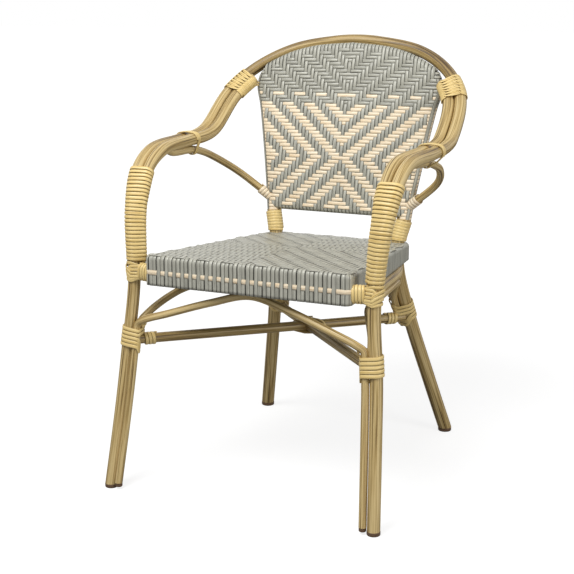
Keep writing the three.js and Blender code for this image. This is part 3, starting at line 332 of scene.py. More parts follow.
class Route:
    # Points in order, asked for by length from the first
    def __init__(self, points):
        self.points = np.array(points, float)
        steps = np.linalg.norm(np.diff(self.points, axis=0), axis=1)
        self.lengths = np.concatenate([[0], np.cumsum(steps)])
        self.total = self.lengths[-1]

    def pointAt(self, length):
        return np.array([np.interp(length, self.lengths, self.points[:, axis]) for axis in range(3)])

    def wayAt(self, length):
        way = self.pointAt(min(length + 2, self.total)) - self.pointAt(max(length - 2, 0))
        return way / np.linalg.norm(way)

    def lengthWhere(self, axis, value, low=0.0, high=1.0):
        near, far = low * self.total, high * self.total
        rising = self.pointAt(far)[axis] > self.pointAt(near)[axis]
        for _ in range(40):
            middle = (near + far) / 2
            if (self.pointAt(middle)[axis] < value) == rising:
                near = middle
            else:
                far = middle
        return (near + far) / 2

    def part(self, low, high):
        inner = self.points[(self.lengths > low + 0.5) & (self.lengths < high - 0.5)]
        return np.vstack([self.pointAt(low), inner, self.pointAt(high)])


def mirrored(points, side):
    return np.array(points, float) * [side, 1, 1]


def unit(vector):
    return vector / np.linalg.norm(vector)


def mixed(a, b, share):
    return a + (b - a) * share


def sideways(way, side, turn):
    # Square to a line, turned degrees from inboard to the front
    flat = np.array([-side * math.cos(math.radians(turn)), -math.sin(math.radians(turn)), 0])
    return unit(flat - way * flat.dot(way))


# Geometry Nodes: a profile swept along lines


def buildSweepTree():
    tree = bpy.data.node_groups.new("strandAlongLines", "GeometryNodeTree")
    for name, kind in (("Lines", "Geometry"), ("Width", "Float"), ("Thickness", "Float"), ("Facets", "Int"),
                       ("Squareness", "Float"), ("Finish", "Material")):
        tree.interface.new_socket(name, in_out="INPUT", socket_type="NodeSocket" + kind)
    tree.interface.new_socket("Piece", in_out="OUTPUT", socket_type="NodeSocketGeometry")
    asked = addNode(tree, "NodeGroupInput").outputs
    line = addNode(tree, "GeometryNodeMeshToCurve", None, {"Mesh": asked["Lines"]})
    outward = addNode(tree, "GeometryNodeInputNamedAttribute", {"data_type": "FLOAT_VECTOR"}, {"Name": "outward"})
    turned = addNode(tree, "GeometryNodeSetCurveNormal", {"mode": "FREE"},
                     {"Curve": line.outputs["Curve"], "Normal": outward.outputs["Attribute"]})
    reach = addNode(tree, "GeometryNodeSplineParameter")
    measured = addNode(tree, "GeometryNodeStoreNamedAttribute", {"data_type": "FLOAT", "domain": "POINT"},
                       {"Geometry": turned.outputs["Curve"], "Name": "along", "Value": reach.outputs["Length"]})
    ring = addNode(tree, "GeometryNodeCurvePrimitiveCircle", None, {"Resolution": asked["Facets"], "Radius": 1.0})
    spot = addNode(tree, "GeometryNodeInputPosition")
    axes = addNode(tree, "ShaderNodeSeparateXYZ", None, {0: spot.outputs[0]})
    scaled, bents = [], []
    for axis, size in ((0, "Thickness"), (1, "Width")):
        # A power below one squares the oval
        bare = addNode(tree, "ShaderNodeMath", {"operation": "ABSOLUTE"}, {0: axes.outputs[axis]})
        bent = addNode(tree, "ShaderNodeMath", {"operation": "POWER"}, {0: bare.outputs[0], 1: asked["Squareness"]})
        bents.append(bent.outputs[0])
        sign = addNode(tree, "ShaderNodeMath", {"operation": "SIGN"}, {0: axes.outputs[axis]})
        signed = addNode(tree, "ShaderNodeMath", {"operation": "MULTIPLY"}, {0: bent.outputs[0], 1: sign.outputs[0]})
        half = addNode(tree, "ShaderNodeMath", {"operation": "MULTIPLY"}, {0: asked[size], 1: 0.5})
        sized = addNode(tree, "ShaderNodeMath", {"operation": "MULTIPLY"}, {0: signed.outputs[0], 1: half.outputs[0]})
        scaled.append(sized.outputs[0])
    shape = addNode(tree, "ShaderNodeCombineXYZ", None, {0: scaled[0], 1: scaled[1]})
    edged = addNode(tree, "GeometryNodeStoreNamedAttribute", {"data_type": "FLOAT", "domain": "POINT"},
                    {"Geometry": ring.outputs["Curve"], "Name": "edge", "Value": bents[1]})
    profile = addNode(tree, "GeometryNodeSetPosition", None,
                      {"Geometry": edged.outputs["Geometry"], "Position": shape.outputs[0]})
    rimmed = addNode(tree, "GeometryNodeStoreNamedAttribute", {"data_type": "FLOAT_VECTOR", "domain": "POINT"},
                     {"Geometry": profile.outputs["Geometry"], "Name": "rim"})
    tree.links.new(addNode(tree, "GeometryNodeInputPosition").outputs[0], rimmed.inputs["Value"])
    size = addNode(tree, "GeometryNodeInputNamedAttribute", {"data_type": "FLOAT"}, {"Name": "size"})
    swept = addNode(tree, "GeometryNodeCurveToMesh", None, {
        "Curve": measured.outputs["Geometry"], "Profile Curve": rimmed.outputs["Geometry"],
        "Scale": size.outputs["Attribute"], "Fill Caps": True})
    smooth = addNode(tree, "GeometryNodeSetShadeSmooth", None, {"Geometry": swept.outputs["Mesh"]})
    real = addNode(tree, "GeometryNodeRealizeInstances", None, {"Geometry": smooth.outputs["Geometry"]})
    finished = addNode(tree, "GeometryNodeSetMaterial", None,
                       {"Geometry": real.outputs["Geometry"], "Material": asked["Finish"]})
    addNode(tree, "NodeGroupOutput", None, {"Piece": finished.outputs["Geometry"]})
    return tree


sweepTree = buildSweepTree()
inputIds = {item.name: item.identifier for item in sweepTree.interface.items_tree if item.in_out == "INPUT"}


def strand(points, outward, size=None, own=0.0, closed=False):
    points = np.array(points, float)
    return {"points": points, "outward": np.array(outward, float), "closed": closed,
            "size": np.ones(len(points)) if size is None else np.array(size, float), "own": own}


def sweep(name, strands, width, thickness, finish, facets=8, squareness=1.0):
    mesh = bpy.data.meshes.new(name)
    points = np.vstack([line["points"] for line in strands]) * mm
    edges = []
    first = 0
    for line in strands:
        count = len(line["points"])
        edges += [(first + i, first + i + 1) for i in range(count - 1)]
        if line["closed"]:
            edges.append((first + count - 1, first))
        first += count
    mesh.from_pydata(points, edges, [])
    outward = mesh.attributes.new("outward", "FLOAT_VECTOR", "POINT")
    outward.data.foreach_set("vector", np.vstack([line["outward"] for line in strands]).ravel())
    size = np.concatenate([line["size"] for line in strands])
    mesh.attributes.new("size", "FLOAT", "POINT").data.foreach_set("value", size)
    own = np.concatenate([np.full(len(line["points"]), line["own"]) for line in strands])
    mesh.attributes.new("own", "FLOAT", "POINT").data.foreach_set("value", own)
    piece = bpy.data.objects.new(name, mesh)
    bpy.context.scene.collection.objects.link(piece)
    modifier = piece.modifiers.new("sweep", "NODES")
    modifier.node_group = sweepTree
    for label, value in (("Width", width * mm), ("Thickness", thickness * mm), ("Facets", facets),
                         ("Squareness", squareness), ("Finish", materials[finish])):
        modifier[inputIds[label]] = value
    bpy.context.view_layer.update()
    solid = bpy.data.meshes.new_from_object(piece.evaluated_get(bpy.context.evaluated_depsgraph_get()))
    piece.modifiers.clear()
    piece.data = solid
    solid.name = name
    if not solid.materials:
        solid.materials.append(materials[finish])
    return piece


def settle(piece, finish, *nodes):
    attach(piece, body)
    if nodes:
        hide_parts(*nodes)
    return piece


def minimumTwist(points, start=(0, 0, 1)):
    # Outward vectors that turn as little as they can along a line
    ways = np.gradient(points, axis=0)
    ways /= np.linalg.norm(ways, axis=1)[:, None]
    vector = np.array(start, float)
    if abs(vector.dot(ways[0])) > 0.9:
        vector = np.array([0.0, 1.0, 0.0])
    turned = []
    for way in ways:
        vector = unit(vector - way * vector.dot(way))
        turned.append(vector)
    return np.array(turned)


def cutLevel(piece, height, keepAbove=True):
    # Saw a tube off level and close the end
    mesh = bmesh.new()
    mesh.from_mesh(piece.data)
    normal = (0, 0, -1) if keepAbove else (0, 0, 1)
    everything = mesh.verts[:] + mesh.edges[:] + mesh.faces[:]
    cut = bmesh.ops.bisect_plane(mesh, geom=everything, plane_co=(0, 0, height * mm), plane_no=normal,
                                 clear_outer=True)
    edges = [item for item in cut["geom_cut"] if isinstance(item, bmesh.types.BMEdge)]
    bmesh.ops.edgeloop_fill(mesh, edges=edges)
    mesh.to_mesh(piece.data)
    mesh.free()


tubeFacets = 28


def tube(name, points, radius, *nodes, radii=None, floor=None, ceiling=None, own=1.0):
    size = None if radii is None else np.array(radii) / radius
    line = strand(points, minimumTwist(points), size=size, own=own)
    piece = sweep(name, [line], 2 * radius, 2 * radius, "printedTube", facets=tubeFacets)
    if floor is not None:
        cutLevel(piece, floor)
    if ceiling is not None:
        cutLevel(piece, ceiling, keepAbove=False)
    piece.data.set_sharp_from_angle(angle=math.radians(50))
    return settle(piece, "printedTube", *nodes)


# Frame of bent tubes

frameTube = {
    "radius": 12.5,
    "capTop": 8.3,
    "shoulder": 783,  # the arm tube meets the back arch under the top lashing
    "joint": 0.15,  # half the gap there
    "half": [
        (283, -307, 0), (272, -275, 167.2), (265, -257.1, 280.1), (254, -243, 418), (264.1, -227.2, 551.1),
        (272.9, -190.5, 626.1), (275, -138, 660), (282, -13.5, 669), (281, 68.7, 673), (280, 111, 685),
        (268, 200, 757.5), (220.1, 255.9, 811.4), (145.9, 291.5, 849.5), (51, 298, 867), (0, 298, 870)],
}
rearLeg = {
    "radius": 14.5,
    "top": 500.7,
    "line": [
        (225, 304, 0), (195.8, 262.5, 128.3), (163, 214.9, 279), (146, 179.6, 393.8), (144, 182, 450),
        (155, 192, 501)],
}
innerArm = {
    "radius": 12.5,
    "low": 451.3,
    "high": 795.5,
    "gap": 0.3,
    # Height and radius
    "taper": ((431.2, 5.0), (480.4, 5.25), (565.7, 7.0), (605, 10.0), (628, 10.75), (660.8, 12.5)),
    "turn": 25,
    "turnLow": 464,
    "turnHigh": 628,
}

frameHalf = smoothLine(frameTube["half"] + [tuple(mirrored(p, -1)) for p in frameTube["half"][-2::-1]], 3.0)
wholeFrame = Route(frameHalf)
shoulderLength = wholeFrame.lengthWhere(2, frameTube["shoulder"], 0, 0.5)
frameRoute = {side: Route(mirrored(wholeFrame.part(0, wholeFrame.total / 2), side)) for side in (1, -1)}
rearRoute = {side: Route(mirrored(smoothLine(rearLeg["line"], 3.0), side)) for side in (1, -1)}


def innerArmRoute(side):
    guide = frameRoute[side]
    low, high = guide.lengthWhere(2, innerArm["low"]), guide.lengthWhere(2, innerArm["high"])
    heights, radii = zip(*innerArm["taper"])
    points, sizes = [], []
    for length in np.linspace(low, high, int((high - low) / 3)):
        point = guide.pointAt(length)
        radius = float(np.interp(point[2], heights, radii))
        share = np.clip((innerArm["turnHigh"] - point[2]) / (innerArm["turnHigh"] - innerArm["turnLow"]), 0, 1)
        across = sideways(guide.wayAt(length), side, -innerArm["turn"] * share)
        points.append(point + across * (frameTube["radius"] + radius + innerArm["gap"]))
        sizes.append(radius)
    return Route(points), np.array(sizes)


innerRoute = {}
innerRadii = {}
for label, side in sides.items():
    name = label.lower()
    arm = frameRoute[side]
    tube("armTube" + label, arm.part(0, shoulderLength - frameTube["joint"]), frameTube["radius"],
         "arm_tube_" + name, floor=frameTube["capTop"])
    # The rear leg's negative own is painted shade, as it stands under the seat
    tube("rearLeg" + label, rearRoute[side].points, rearLeg["radius"], "rear_leg_" + name,
         floor=frameTube["capTop"], ceiling=rearLeg["top"], own=-3)
    innerRoute[side], innerRadii[side] = innerArmRoute(side)
    tube("innerArmTube" + label, innerRoute[side].points, innerArm["radius"], "inner_arm_tube_" + name,
         radii=innerRadii[side])
archPoints = wholeFrame.part(shoulderLength + frameTube["joint"],
                             wholeFrame.total - shoulderLength - frameTube["joint"])
# The arch's negative own is painted shade: the arch is darker than the arm tubes it continues
tube("backArch", archPoints, frameTube["radius"], "back_arch", own=-12)
print("main tubes bent")

# Thin arches, rails and stretchers under the seat, and the braces under the arms

underSeat = {
    "archRadius": 7.5,
    "armBraceRadius": 8,
    "railRadius": 11,
    "stretcherRadius": 10,
    "braceFloor": 13.3,
    "crossing": 0.6183,  # of the short stretcher's length, where the long one passes
    "crossingGap": 9.5,  # from there to the cut ends
    "frontArch": [
        (263.2, -312.3, 0), (258.8, -299.4, 66.3), (254.4, -286.6, 132.6), (250.2, -274.8, 199), (246.2, -264.4, 265.3),
        (243, -259.4, 305.1), (240.3, -256.7, 331.6), (225.8, -259.5, 342.3), (175.4, -251.1, 358.3),
        (84.1, -240.8, 387.3), (0, -238, 407.9)],
    "rearArch": [
        (145.2, 227.4, 258), (140.7, 219.9, 281.7), (136.6, 211.9, 305.5), (125.6, 213.9, 321.3), (113.3, 215.3, 338.1),
        (58.7, 204.3, 376.6), (0, 195, 404.3)],
    "sideArch": [
        (248.8, -238.6, 306.8), (246.2, -236, 331.6), (238.8, -216.7, 347.4), (223.1, -185.8, 366.3),
        (206.3, -151, 380.6), (197, -107.1, 384.2), (187.3, -20.1, 383.5), (176.9, 73.2, 382.7),
        (164.2, 126.7, 375.1), (146.5, 166.3, 355.1), (138.5, 180.2, 328.6), (144.8, 193.4, 290.8)],
    "sideRail": [(199.7, -132, 403.5), (185.9, -7.7, 402.5), (174.8, 91.8, 401.7), (145.4, 178.8, 400.9)],
    "armBrace": [
        (251.2, -111.7, 662.9), (252.8, -87.4, 653.5), (260.3, 12.2, 647.7), (260.3, 50.9, 640.4),
        (258.4, 103.3, 623.2), (230.3, 171.6, 582.2), (159.2, 197.2, 524)],
    "stretcherFront": (263.7, -255.1, 296.5),
    "stretcherRear": (162.8, 214.5, 280.5),
}


def wholeArch(half):
    return smoothLine(half + [tuple(mirrored(p, -1)) for p in half[-2::-1]], 4.0)


frontArch = Route(wholeArch(underSeat["frontArch"]))
rearArch = Route(wholeArch(underSeat["rearArch"]))
sideArch = {side: Route(mirrored(smoothLine(underSeat["sideArch"], 4.0), side)) for side in (1, -1)}
for label, side in sides.items():
    name = label.lower()
    tube("sideArch" + label, sideArch[side].points, underSeat["archRadius"], "side_brace_" + name)
    tube("sideRail" + label, mirrored(smoothLine(underSeat["sideRail"], 4.0), side), underSeat["railRadius"],
         "side_rail_" + name)
    tube("armBrace" + label, mirrored(smoothLine(underSeat["armBrace"], 4.0), side), underSeat["armBraceRadius"],
         "arm_brace_" + name)
tube("frontArch", frontArch.points, underSeat["archRadius"], "front_brace", floor=underSeat["braceFloor"])
tube("rearArch", rearArch.points, underSeat["archRadius"], "rear_brace")
stretcherEnds = {side: [mirrored(underSeat[end], side) for end in ("stretcherFront", "stretcherRear")]
                 for side in (1, -1)}
longStretcher = Route(evenly([stretcherEnds[-1][0], stretcherEnds[1][1]], 8))
shortStretcher = Route(evenly([stretcherEnds[1][0], stretcherEnds[-1][1]], 8))
crossing = shortStretcher.total * underSeat["crossing"]
# The stretchers' negative own values are painted shade under the seat
tube("stretcherLong", longStretcher.points, underSeat["stretcherRadius"], "stretcher_long", own=-5)
tube("stretcherFrontHalf", shortStretcher.part(0, crossing - underSeat["crossingGap"]),
     underSeat["stretcherRadius"], "stretcher_front_half", own=-4)
tube("stretcherRearHalf", shortStretcher.part(crossing + underSeat["crossingGap"], shortStretcher.total),
     underSeat["stretcherRadius"], "stretcher_rear_half", own=-5)
print("thin tubes bent")

# Moulded feet

feet = {
    "height": 8,
    "edge": 2.5,
    "proud": 0.4,
    "frontPlace": (282.45, -305.41, 0),
    "rearPlace": (223.11, 301.31, 0),
    "bracePlace": (262.3, -309.6, 5),
    "braceSlack": 0.3,  # the small caps are narrower than their tube by this
    "bevel": 0.8,
    "stemShare": 0.55,  # of the cap's radius
    "stemRise": 3,
    "segments": 40,
}


def lathe(name, place, profile, finish, *nodes):
    # Spin a profile of radius and height about an upright line
    count = feet["segments"]
    vertices, faces = [], []
    for radius, height in profile:
        for i in range(count):
            angle = 2 * math.pi * i / count
            spoke = (radius * math.cos(angle), radius * math.sin(angle), height)
            vertices.append(tuple(place[axis] + spoke[axis] for axis in range(3)))
    for ring in range(len(profile) - 1):
        for i in range(count):
            a, b = ring * count + i, ring * count + (i + 1) % count
            faces.append((a, b, b + count, a + count))
    faces.append(tuple(range(count))[::-1])
    faces.append(tuple(range((len(profile) - 1) * count, len(profile) * count)))
    mesh = bpy.data.meshes.new(name)
    mesh.from_pydata(np.array(vertices) * mm, [], faces)
    mesh.shade_smooth()
    mesh.set_sharp_from_angle(angle=math.radians(40))
    mesh.materials.append(materials[finish])
    piece = bpy.data.objects.new(name, mesh)
    bpy.context.scene.collection.objects.link(piece)
    return settle(piece, finish, *nodes)


def footProfile(radius):
    edge, top, bevel, stem = feet["edge"], feet["height"], feet["bevel"], radius * feet["stemShare"]
    rounded = [(radius - edge + edge * math.sin(t), edge - edge * math.cos(t)) for t in np.linspace(0, math.pi / 2, 6)]
    return rounded + [(radius, top - bevel), (radius - bevel, top), (stem, top), (stem, top + feet["stemRise"])]


for label, side in sides.items():
    name = label.lower()
    for kind, radius in (("front", frameTube["radius"] + feet["proud"]), ("rear", rearLeg["radius"] + feet["proud"]),
                         ("brace", underSeat["archRadius"] - feet["braceSlack"])):
        lathe(kind + "Foot" + label, mirrored(feet[kind + "Place"], side), footProfile(radius),
              "mouldedPolypropylene", kind + "_foot_" + name)
print("feet moulded")

# Cane windings

windings = {
    "thickness": 2.8,
    "stepsInATurn": 28,
    "slack": 0.25,
    "reach": 38,  # a tube farther than this from the axis isn't in the bundle
    "lashWidth": 7.4,
    "lashPitch": 7.6,
    "wrapWidth": 7.0,
    "wrapLow": 458.5,
    "wrapHigh": 628,
    "wrapTurns": 24.7,
    "topWidth": 4.4,
    "topPitch": 8.6,
    "topTurns": 6.5,
    "topThickness": 2.0,
    "topSteps": 56,
    "changeOver": (0.11, 0.055, 0.02, 0.07),  # of a turn: how soon the two strands change and how long one is over
    "tieTo": (203, 240, 775),  # on the hoop, where the lashing's ends are tied to the back
    "tieFrom": (36, 6),  # inboard and forward of the arm tube's middle
    "tieBack": 8,  # back along the arm from the lashing's middle
    "tieApart": 5,
    "tieSpread": 2.2,
    "tieReach": 1.15,
    "middleY": 12,
    "middlePitch": 5.4,
    "middleTurns": 2.6,
    "middleWidth": 5.4,
    "stubHeight": 436,
    "stubFrom": (199, -251.5, 436),
    "stubTurns": 4,
    "stubPitch": 6.4,
    "stubWidth": 6.3,
    "stubRadius": 9,  # the rail's end, an upright oval
    "stubApart": 6,
    "stubClear": 3.2,  # from the leg
    "cornerWidth": 6.6,
    "cornerReach": 19,  # from the leg's side to the strands' ends under the collar
    "cornerTuck": 4.2,
    "cornerBend": 0.8,  # how soon a strand leaves its height at the rail; 1 would be a sine
    "cornerLow": -11,  # how far the ends lie from the rail's middle height, at most
    "cornerHigh": 12,
    # Strands from the rail's end round the leg: height at the rail, height outside, and lift over the others
    "cornerStrands": [
        (453.5, 452.5, 0), (447, 437, 0), (440.5, 431, 0.2), (434, 446.5, 2.2), (427.5, 438.5, 2),
        (421.5, 430, 0.8), (418, 421, 0)],
    "frontHeight": 296.5,
    "rearHeight": 280.5,
    "stretcherTurn": 47.75,
    "legTurns": 5,
    "legPitch": 8.1,
    "legTurnsBelow": 2,
    "frontShift": 6,  # from the stretcher's height to the middle of the lashing
    "rearShift": 9,
    "postLow": 456,
    "postHigh": 506,
    "postTurns": 7,
    "postWidth": 7.0,
    "facets": 12,
    "squareness": 0.85,
    "postClear": 4,  # from the leg's upper end
    "passMargin": 2.2,  # from a stretcher to the turns on either side of it
    "passBlend": (0.05, 0.25),  # of a turn: how near the stretcher's side the turns part
    "collarTurns": 3,
    "collarFirst": {"Front": 33, "Rear": 37},  # from the stretcher's end
    "crossTurns": 5,
    "crossPitch": 8.5,
    "crossHalf": 40,
}


def bundle(route, radius):
    radii = np.full(len(route.points), float(radius)) if np.isscalar(radius) else np.array(radius, float)
    return {"points": route.points, "radii": radii}


def crossings(tubes, point, normal):
    # Where each tube of the bundle passes through a plane
    found = []
    for item in tubes:
        depth = (item["points"] - point) @ normal
        places = np.nonzero((depth[:-1] <= 0) != (depth[1:] <= 0))[0]
        best = None
        for i in places:
            share = depth[i] / (depth[i] - depth[i + 1])
            middle = item["points"][i] * (1 - share) + item["points"][i + 1] * share
            distance = np.linalg.norm(middle - point)
            if distance < windings["reach"] and (best is None or distance < best[0]):
                best = (distance, middle, unit(item["points"][i + 1] - item["points"][i]), item["radii"][i])
        if best:
            found.append(best[1:])
    return found


def support(sections, point, normal, way, rise):
    reach = 0.0
    for middle, run, radius in sections:
        slant = run.dot(way) / run.dot(normal)
        reach = max(reach, (middle - point).dot(way) + radius * math.sqrt(1 + slant ** 2))
    return reach + rise


def windStrand(route, tubes, turns, climbAt, width, hand=1, inboard=(0, 0, 1), start=0.0, rise=None, own=0.0,
               stepsInATurn=windings["stepsInATurn"]):
    # One flat strand round a bundle; climbAt gives the length along the route at each turn
    steps = int(round(turns * stepsInATurn))
    half = math.pi / stepsInATurn
    lift = windings["slack"] + windings["thickness"] / 2
    points, normals, ways = [], [], []
    for i in range(steps + 1):
        turn = i / stepsInATurn
        length = climbAt(turn)
        point, normal = route.pointAt(length), route.wayAt(length)
        extra = lift + (rise(turn) if rise else 0)
        sections = [s for shift in (-width / 2, 0, width / 2) for s in crossings(tubes, point + normal * shift, normal)]
        across = unit(np.array(inboard, float) - normal * np.dot(inboard, normal))
        onward = np.cross(normal, across) * hand
        angle = 2 * math.pi * (start + turn)
        wayAt = lambda a: across * math.cos(a) + onward * math.sin(a)
        before = support(sections, point, normal, wayAt(angle - half), extra)
        after = support(sections, point, normal, wayAt(angle + half), extra)
        points.append(point + wayAt(angle) * (before + after) / 2 / math.cos(half)
                      + wayAt(angle + math.pi / 2) * (after - before) / 2 / math.sin(half))
        normals.append(normal)
        ways.append(wayAt(angle))
    points = np.array(points)
    along = np.gradient(points, axis=0)
    outward = np.cross(along, np.array(normals))
    outward *= np.sign(np.sum(outward * np.array(ways), axis=1))[:, None]
    outward /= np.linalg.norm(outward, axis=1)[:, None]
    return strand(points, outward, own=own)


def smoothBetween(value, low, high):
    share = min(max((value - low) / (high - low), 0), 1)
    return share * share * (3 - 2 * share)


def climbPast(low, high, passShare, shift):
    # Turns close together, parted where a tube meets the leg: the last turn below it lies at low, the next at high
    pitch, turns = windings["legPitch"], windings["legTurns"]
    middleTurn = windings["legTurnsBelow"] - 0.5 + passShare

    def lengthAt(turn):
        together = (low + high) / 2 + shift + pitch * (turn - turns / 2)
        base, step = (low, 0.5) if turn < middleTurn else (high, -0.5)
        parted = base + pitch * (turn - middleTurn + step)
        away = abs(turn - passShare - round(turn - passShare))
        return mixed(parted, together, smoothBetween(away, *windings["passBlend"]))
    return lengthAt


def passLengths(route, height, turn, legRadius, side):
    # How far along the leg the turns below and above a stretcher lie
    length = route.lengthWhere(2, height)
    lean = sideways(np.array([0.0, 0.0, 1.0]), side, turn).dot(route.wayAt(length))
    middle = length + (legRadius + 2 * underSeat["archRadius"] + windings["thickness"]) * lean
    reach = underSeat["stretcherRadius"] + windings["passMargin"] + windings["lashWidth"] / 2
    return middle - reach, middle + reach


def caneWinding(name, strands, width, *nodes, thickness=windings["thickness"]):
    piece = sweep(name, strands, width, thickness, "honeyStrand", facets=windings["facets"],
                  squareness=windings["squareness"])
    return settle(piece, "honeyStrand", *nodes)


def crossedStrands(route, tubes, middle, side, inboard):
    # Two strands wound side by side: they change places over each tube, above and below
    pitch, turns = windings["topPitch"], windings["topTurns"]
    changed, lag, full, gone = windings["changeOver"]
    pair = []
    for order in (1, -1):
        def offTop(turn):
            return 2 * turn - 0.5 - round(2 * turn - 0.5)

        def lengthAt(turn):
            place = 2 * smoothBetween(abs(offTop(turn)), 0.0, changed) - 1
            return middle + pitch * (turn - turns / 2 + order * place / 4)

        def over(turn):
            near = abs(offTop(turn) * order + lag)
            return windings["topThickness"] * (1 - smoothBetween(near, full, gone))

        pair.append(windStrand(route, tubes, turns, lengthAt, windings["topWidth"], hand=side, inboard=inboard,
                               rise=over, own=2 + order, stepsInATurn=windings["topSteps"]))
    # Its ends, tied to the hoop of the back
    end = np.array(mirrored(windings["tieTo"], side))
    for order in (-1, 1):
        inboardBy, forwardBy = windings["tieFrom"]
        begin = route.pointAt(middle - windings["tieBack"] + order * windings["tieApart"])
        begin = begin + np.array([-side * inboardBy, -forwardBy, 0])
        aim = end + [0, 0, order * windings["tieSpread"]]
        line = np.array([mixed(begin, aim, share) for share in np.linspace(0, windings["tieReach"], 6)])
        pair.append(strand(line, [(0, -1, 0.3)] * len(line), own=5 + order))
    return pair


def cornerStrands(route, side):
    # From inside the rail's collar round the outside of the leg and back, front to rear
    strands = []
    reach = frameTube["radius"] + windings["slack"] + windings["thickness"] / 2
    out = np.array([side, 0, 0])
    for order, (heightAtRail, heightOutside, rise) in enumerate(windings["cornerStrands"]):
        points, outward = [], []
        for angle in np.linspace(-math.pi / 2, math.pi / 2, 19):
            outside = math.cos(angle) ** windings["cornerBend"] if abs(angle) < 1.57 else 0
            height = mixed(heightAtRail, heightOutside, outside)
            axis = route.pointAt(route.lengthWhere(2, height))
            way = out * math.cos(angle) + np.array([0, math.sin(angle), 0])
            points.append(axis + way * (reach + rise))
            outward.append(way)
        # The ends run in under the collar
        for place, first in ((points[0], True), (points[-1], False)):
            end = place - out * windings["cornerReach"]
            end[1] += windings["cornerTuck"] if first else -windings["cornerTuck"]
            offMiddle = min(max(end[2] - windings["stubHeight"], windings["cornerLow"]), windings["cornerHigh"])
            end[2] = windings["stubHeight"] + offMiddle
            tail = [end, (place + end) / 2 + [0, -0.8 if first else 0.8, 0]]
            if first:
                points, outward = tail + points, [outward[0]] * 2 + outward
            else:
                points, outward = points + tail[::-1], outward + [outward[-1]] * 2
        strands.append(strand(points, outward, own=order + 4))
    return strands


for label, side in sides.items():
    name = label.lower()
    arm, rear = frameRoute[side], rearRoute[side]
    inboard = (-side, 0, 0)
    armTubes = [bundle(Route(arm.points), frameTube["radius"]), bundle(innerRoute[side], innerRadii[side])]
    both = {"hand": side, "inboard": inboard}
    braceTube = bundle(Route(mirrored(smoothLine(underSeat["armBrace"], 4.0), side)), underSeat["armBraceRadius"])
    sideTube = bundle(sideArch[side], underSeat["archRadius"])
    low, high = arm.lengthWhere(2, windings["wrapLow"]), arm.lengthWhere(2, windings["wrapHigh"])
    caneWinding("armWrap" + label, [windStrand(
        arm, armTubes, windings["wrapTurns"], lambda turn: low + (high - low) * turn / windings["wrapTurns"],
        windings["wrapWidth"], own=1, **both)], windings["wrapWidth"], "arm_wrap_" + name)
    shoulder = arm.lengthWhere(2, frameTube["shoulder"]) - innerArm["radius"]
    caneWinding("topLashing" + label, crossedStrands(arm, armTubes, shoulder, side, inboard),
                windings["topWidth"], "top_lashing_" + name, thickness=windings["topThickness"])
    middle = arm.lengthWhere(1, windings["middleY"], arm.lengthWhere(2, 660) / arm.total, 1)
    caneWinding("midArmLashing" + label, [windStrand(
        arm, armTubes + [braceTube], windings["middleTurns"],
        lambda turn: middle + windings["middlePitch"] * (turn - windings["middleTurns"] / 2),
        windings["middleWidth"], own=3, **both)], windings["middleWidth"], "mid_arm_lashing_" + name)
    caneWinding("seatCornerLashing" + label, cornerStrands(arm, side), windings["cornerWidth"],
                "seat_corner_lashing_" + name)
    # The rail's end between the seat and the leg, bound where it shows
    legPlace = arm.pointAt(arm.lengthWhere(2, windings["stubHeight"]))
    stubRoute = Route(evenly([mirrored(windings["stubFrom"], side), legPlace], 2))
    stubTubes = [bundle(Route(stubRoute.points + [0, 0, lift]), windings["stubRadius"])
                 for lift in (-windings["stubApart"], windings["stubApart"])]
    stubFirst = (stubRoute.total - frameTube["radius"] - windings["stubClear"]
                 - windings["stubTurns"] * windings["stubPitch"])
    caneWinding("railCollar" + label, [windStrand(
        stubRoute, stubTubes, windings["stubTurns"], lambda turn: stubFirst + windings["stubPitch"] * turn,
        windings["stubWidth"], own=10, hand=side)], windings["stubWidth"])
    low, high = passLengths(arm, windings["frontHeight"], -windings["stretcherTurn"], frameTube["radius"], side)
    climb = climbPast(low, high, 1 - windings["stretcherTurn"] / 360, windings["frontShift"])
    caneWinding("frontLashing" + label, [windStrand(
        arm, [armTubes[0], bundle(frontArch, underSeat["archRadius"]), sideTube], windings["legTurns"], climb,
        windings["lashWidth"], own=5, **both)], windings["lashWidth"], "front_lashing_" + name)
    low, high = passLengths(rear, windings["rearHeight"], windings["stretcherTurn"], rearLeg["radius"], side)
    climb = climbPast(low, high, windings["stretcherTurn"] / 360, windings["rearShift"])
    rearTube = bundle(rear, rearLeg["radius"])
    caneWinding("rearLashing" + label, [windStrand(
        rear, [rearTube, bundle(rearArch, underSeat["archRadius"]), sideTube], windings["legTurns"], climb,
        windings["lashWidth"], own=6, **both)], windings["lashWidth"], "rear_lashing_" + name)
    low = rear.lengthWhere(2, windings["postLow"])
    high = min(rear.lengthWhere(2, windings["postHigh"]), rear.total - windings["postClear"])
    turns = windings["postTurns"]
    caneWinding("postWrap" + label, [windStrand(
        rear, [rearTube], turns, lambda turn: low + (high - low) * turn / turns,
        windings["postWidth"], own=7, **both)], windings["postWidth"], "post_wrap_" + name)


def collar(end, side, route, fromEnd):
    pitch, first = windings["lashPitch"], windings["collarFirst"][end]
    climb = lambda turn: route.total - first - pitch * turn if fromEnd else first + pitch * turn
    caneWinding("collar" + end + side, [windStrand(
        route, [bundle(route, underSeat["stretcherRadius"])], windings["collarTurns"], climb, windings["lashWidth"],
        own=8)], windings["lashWidth"], "collar_" + end.lower() + "_" + side.lower())


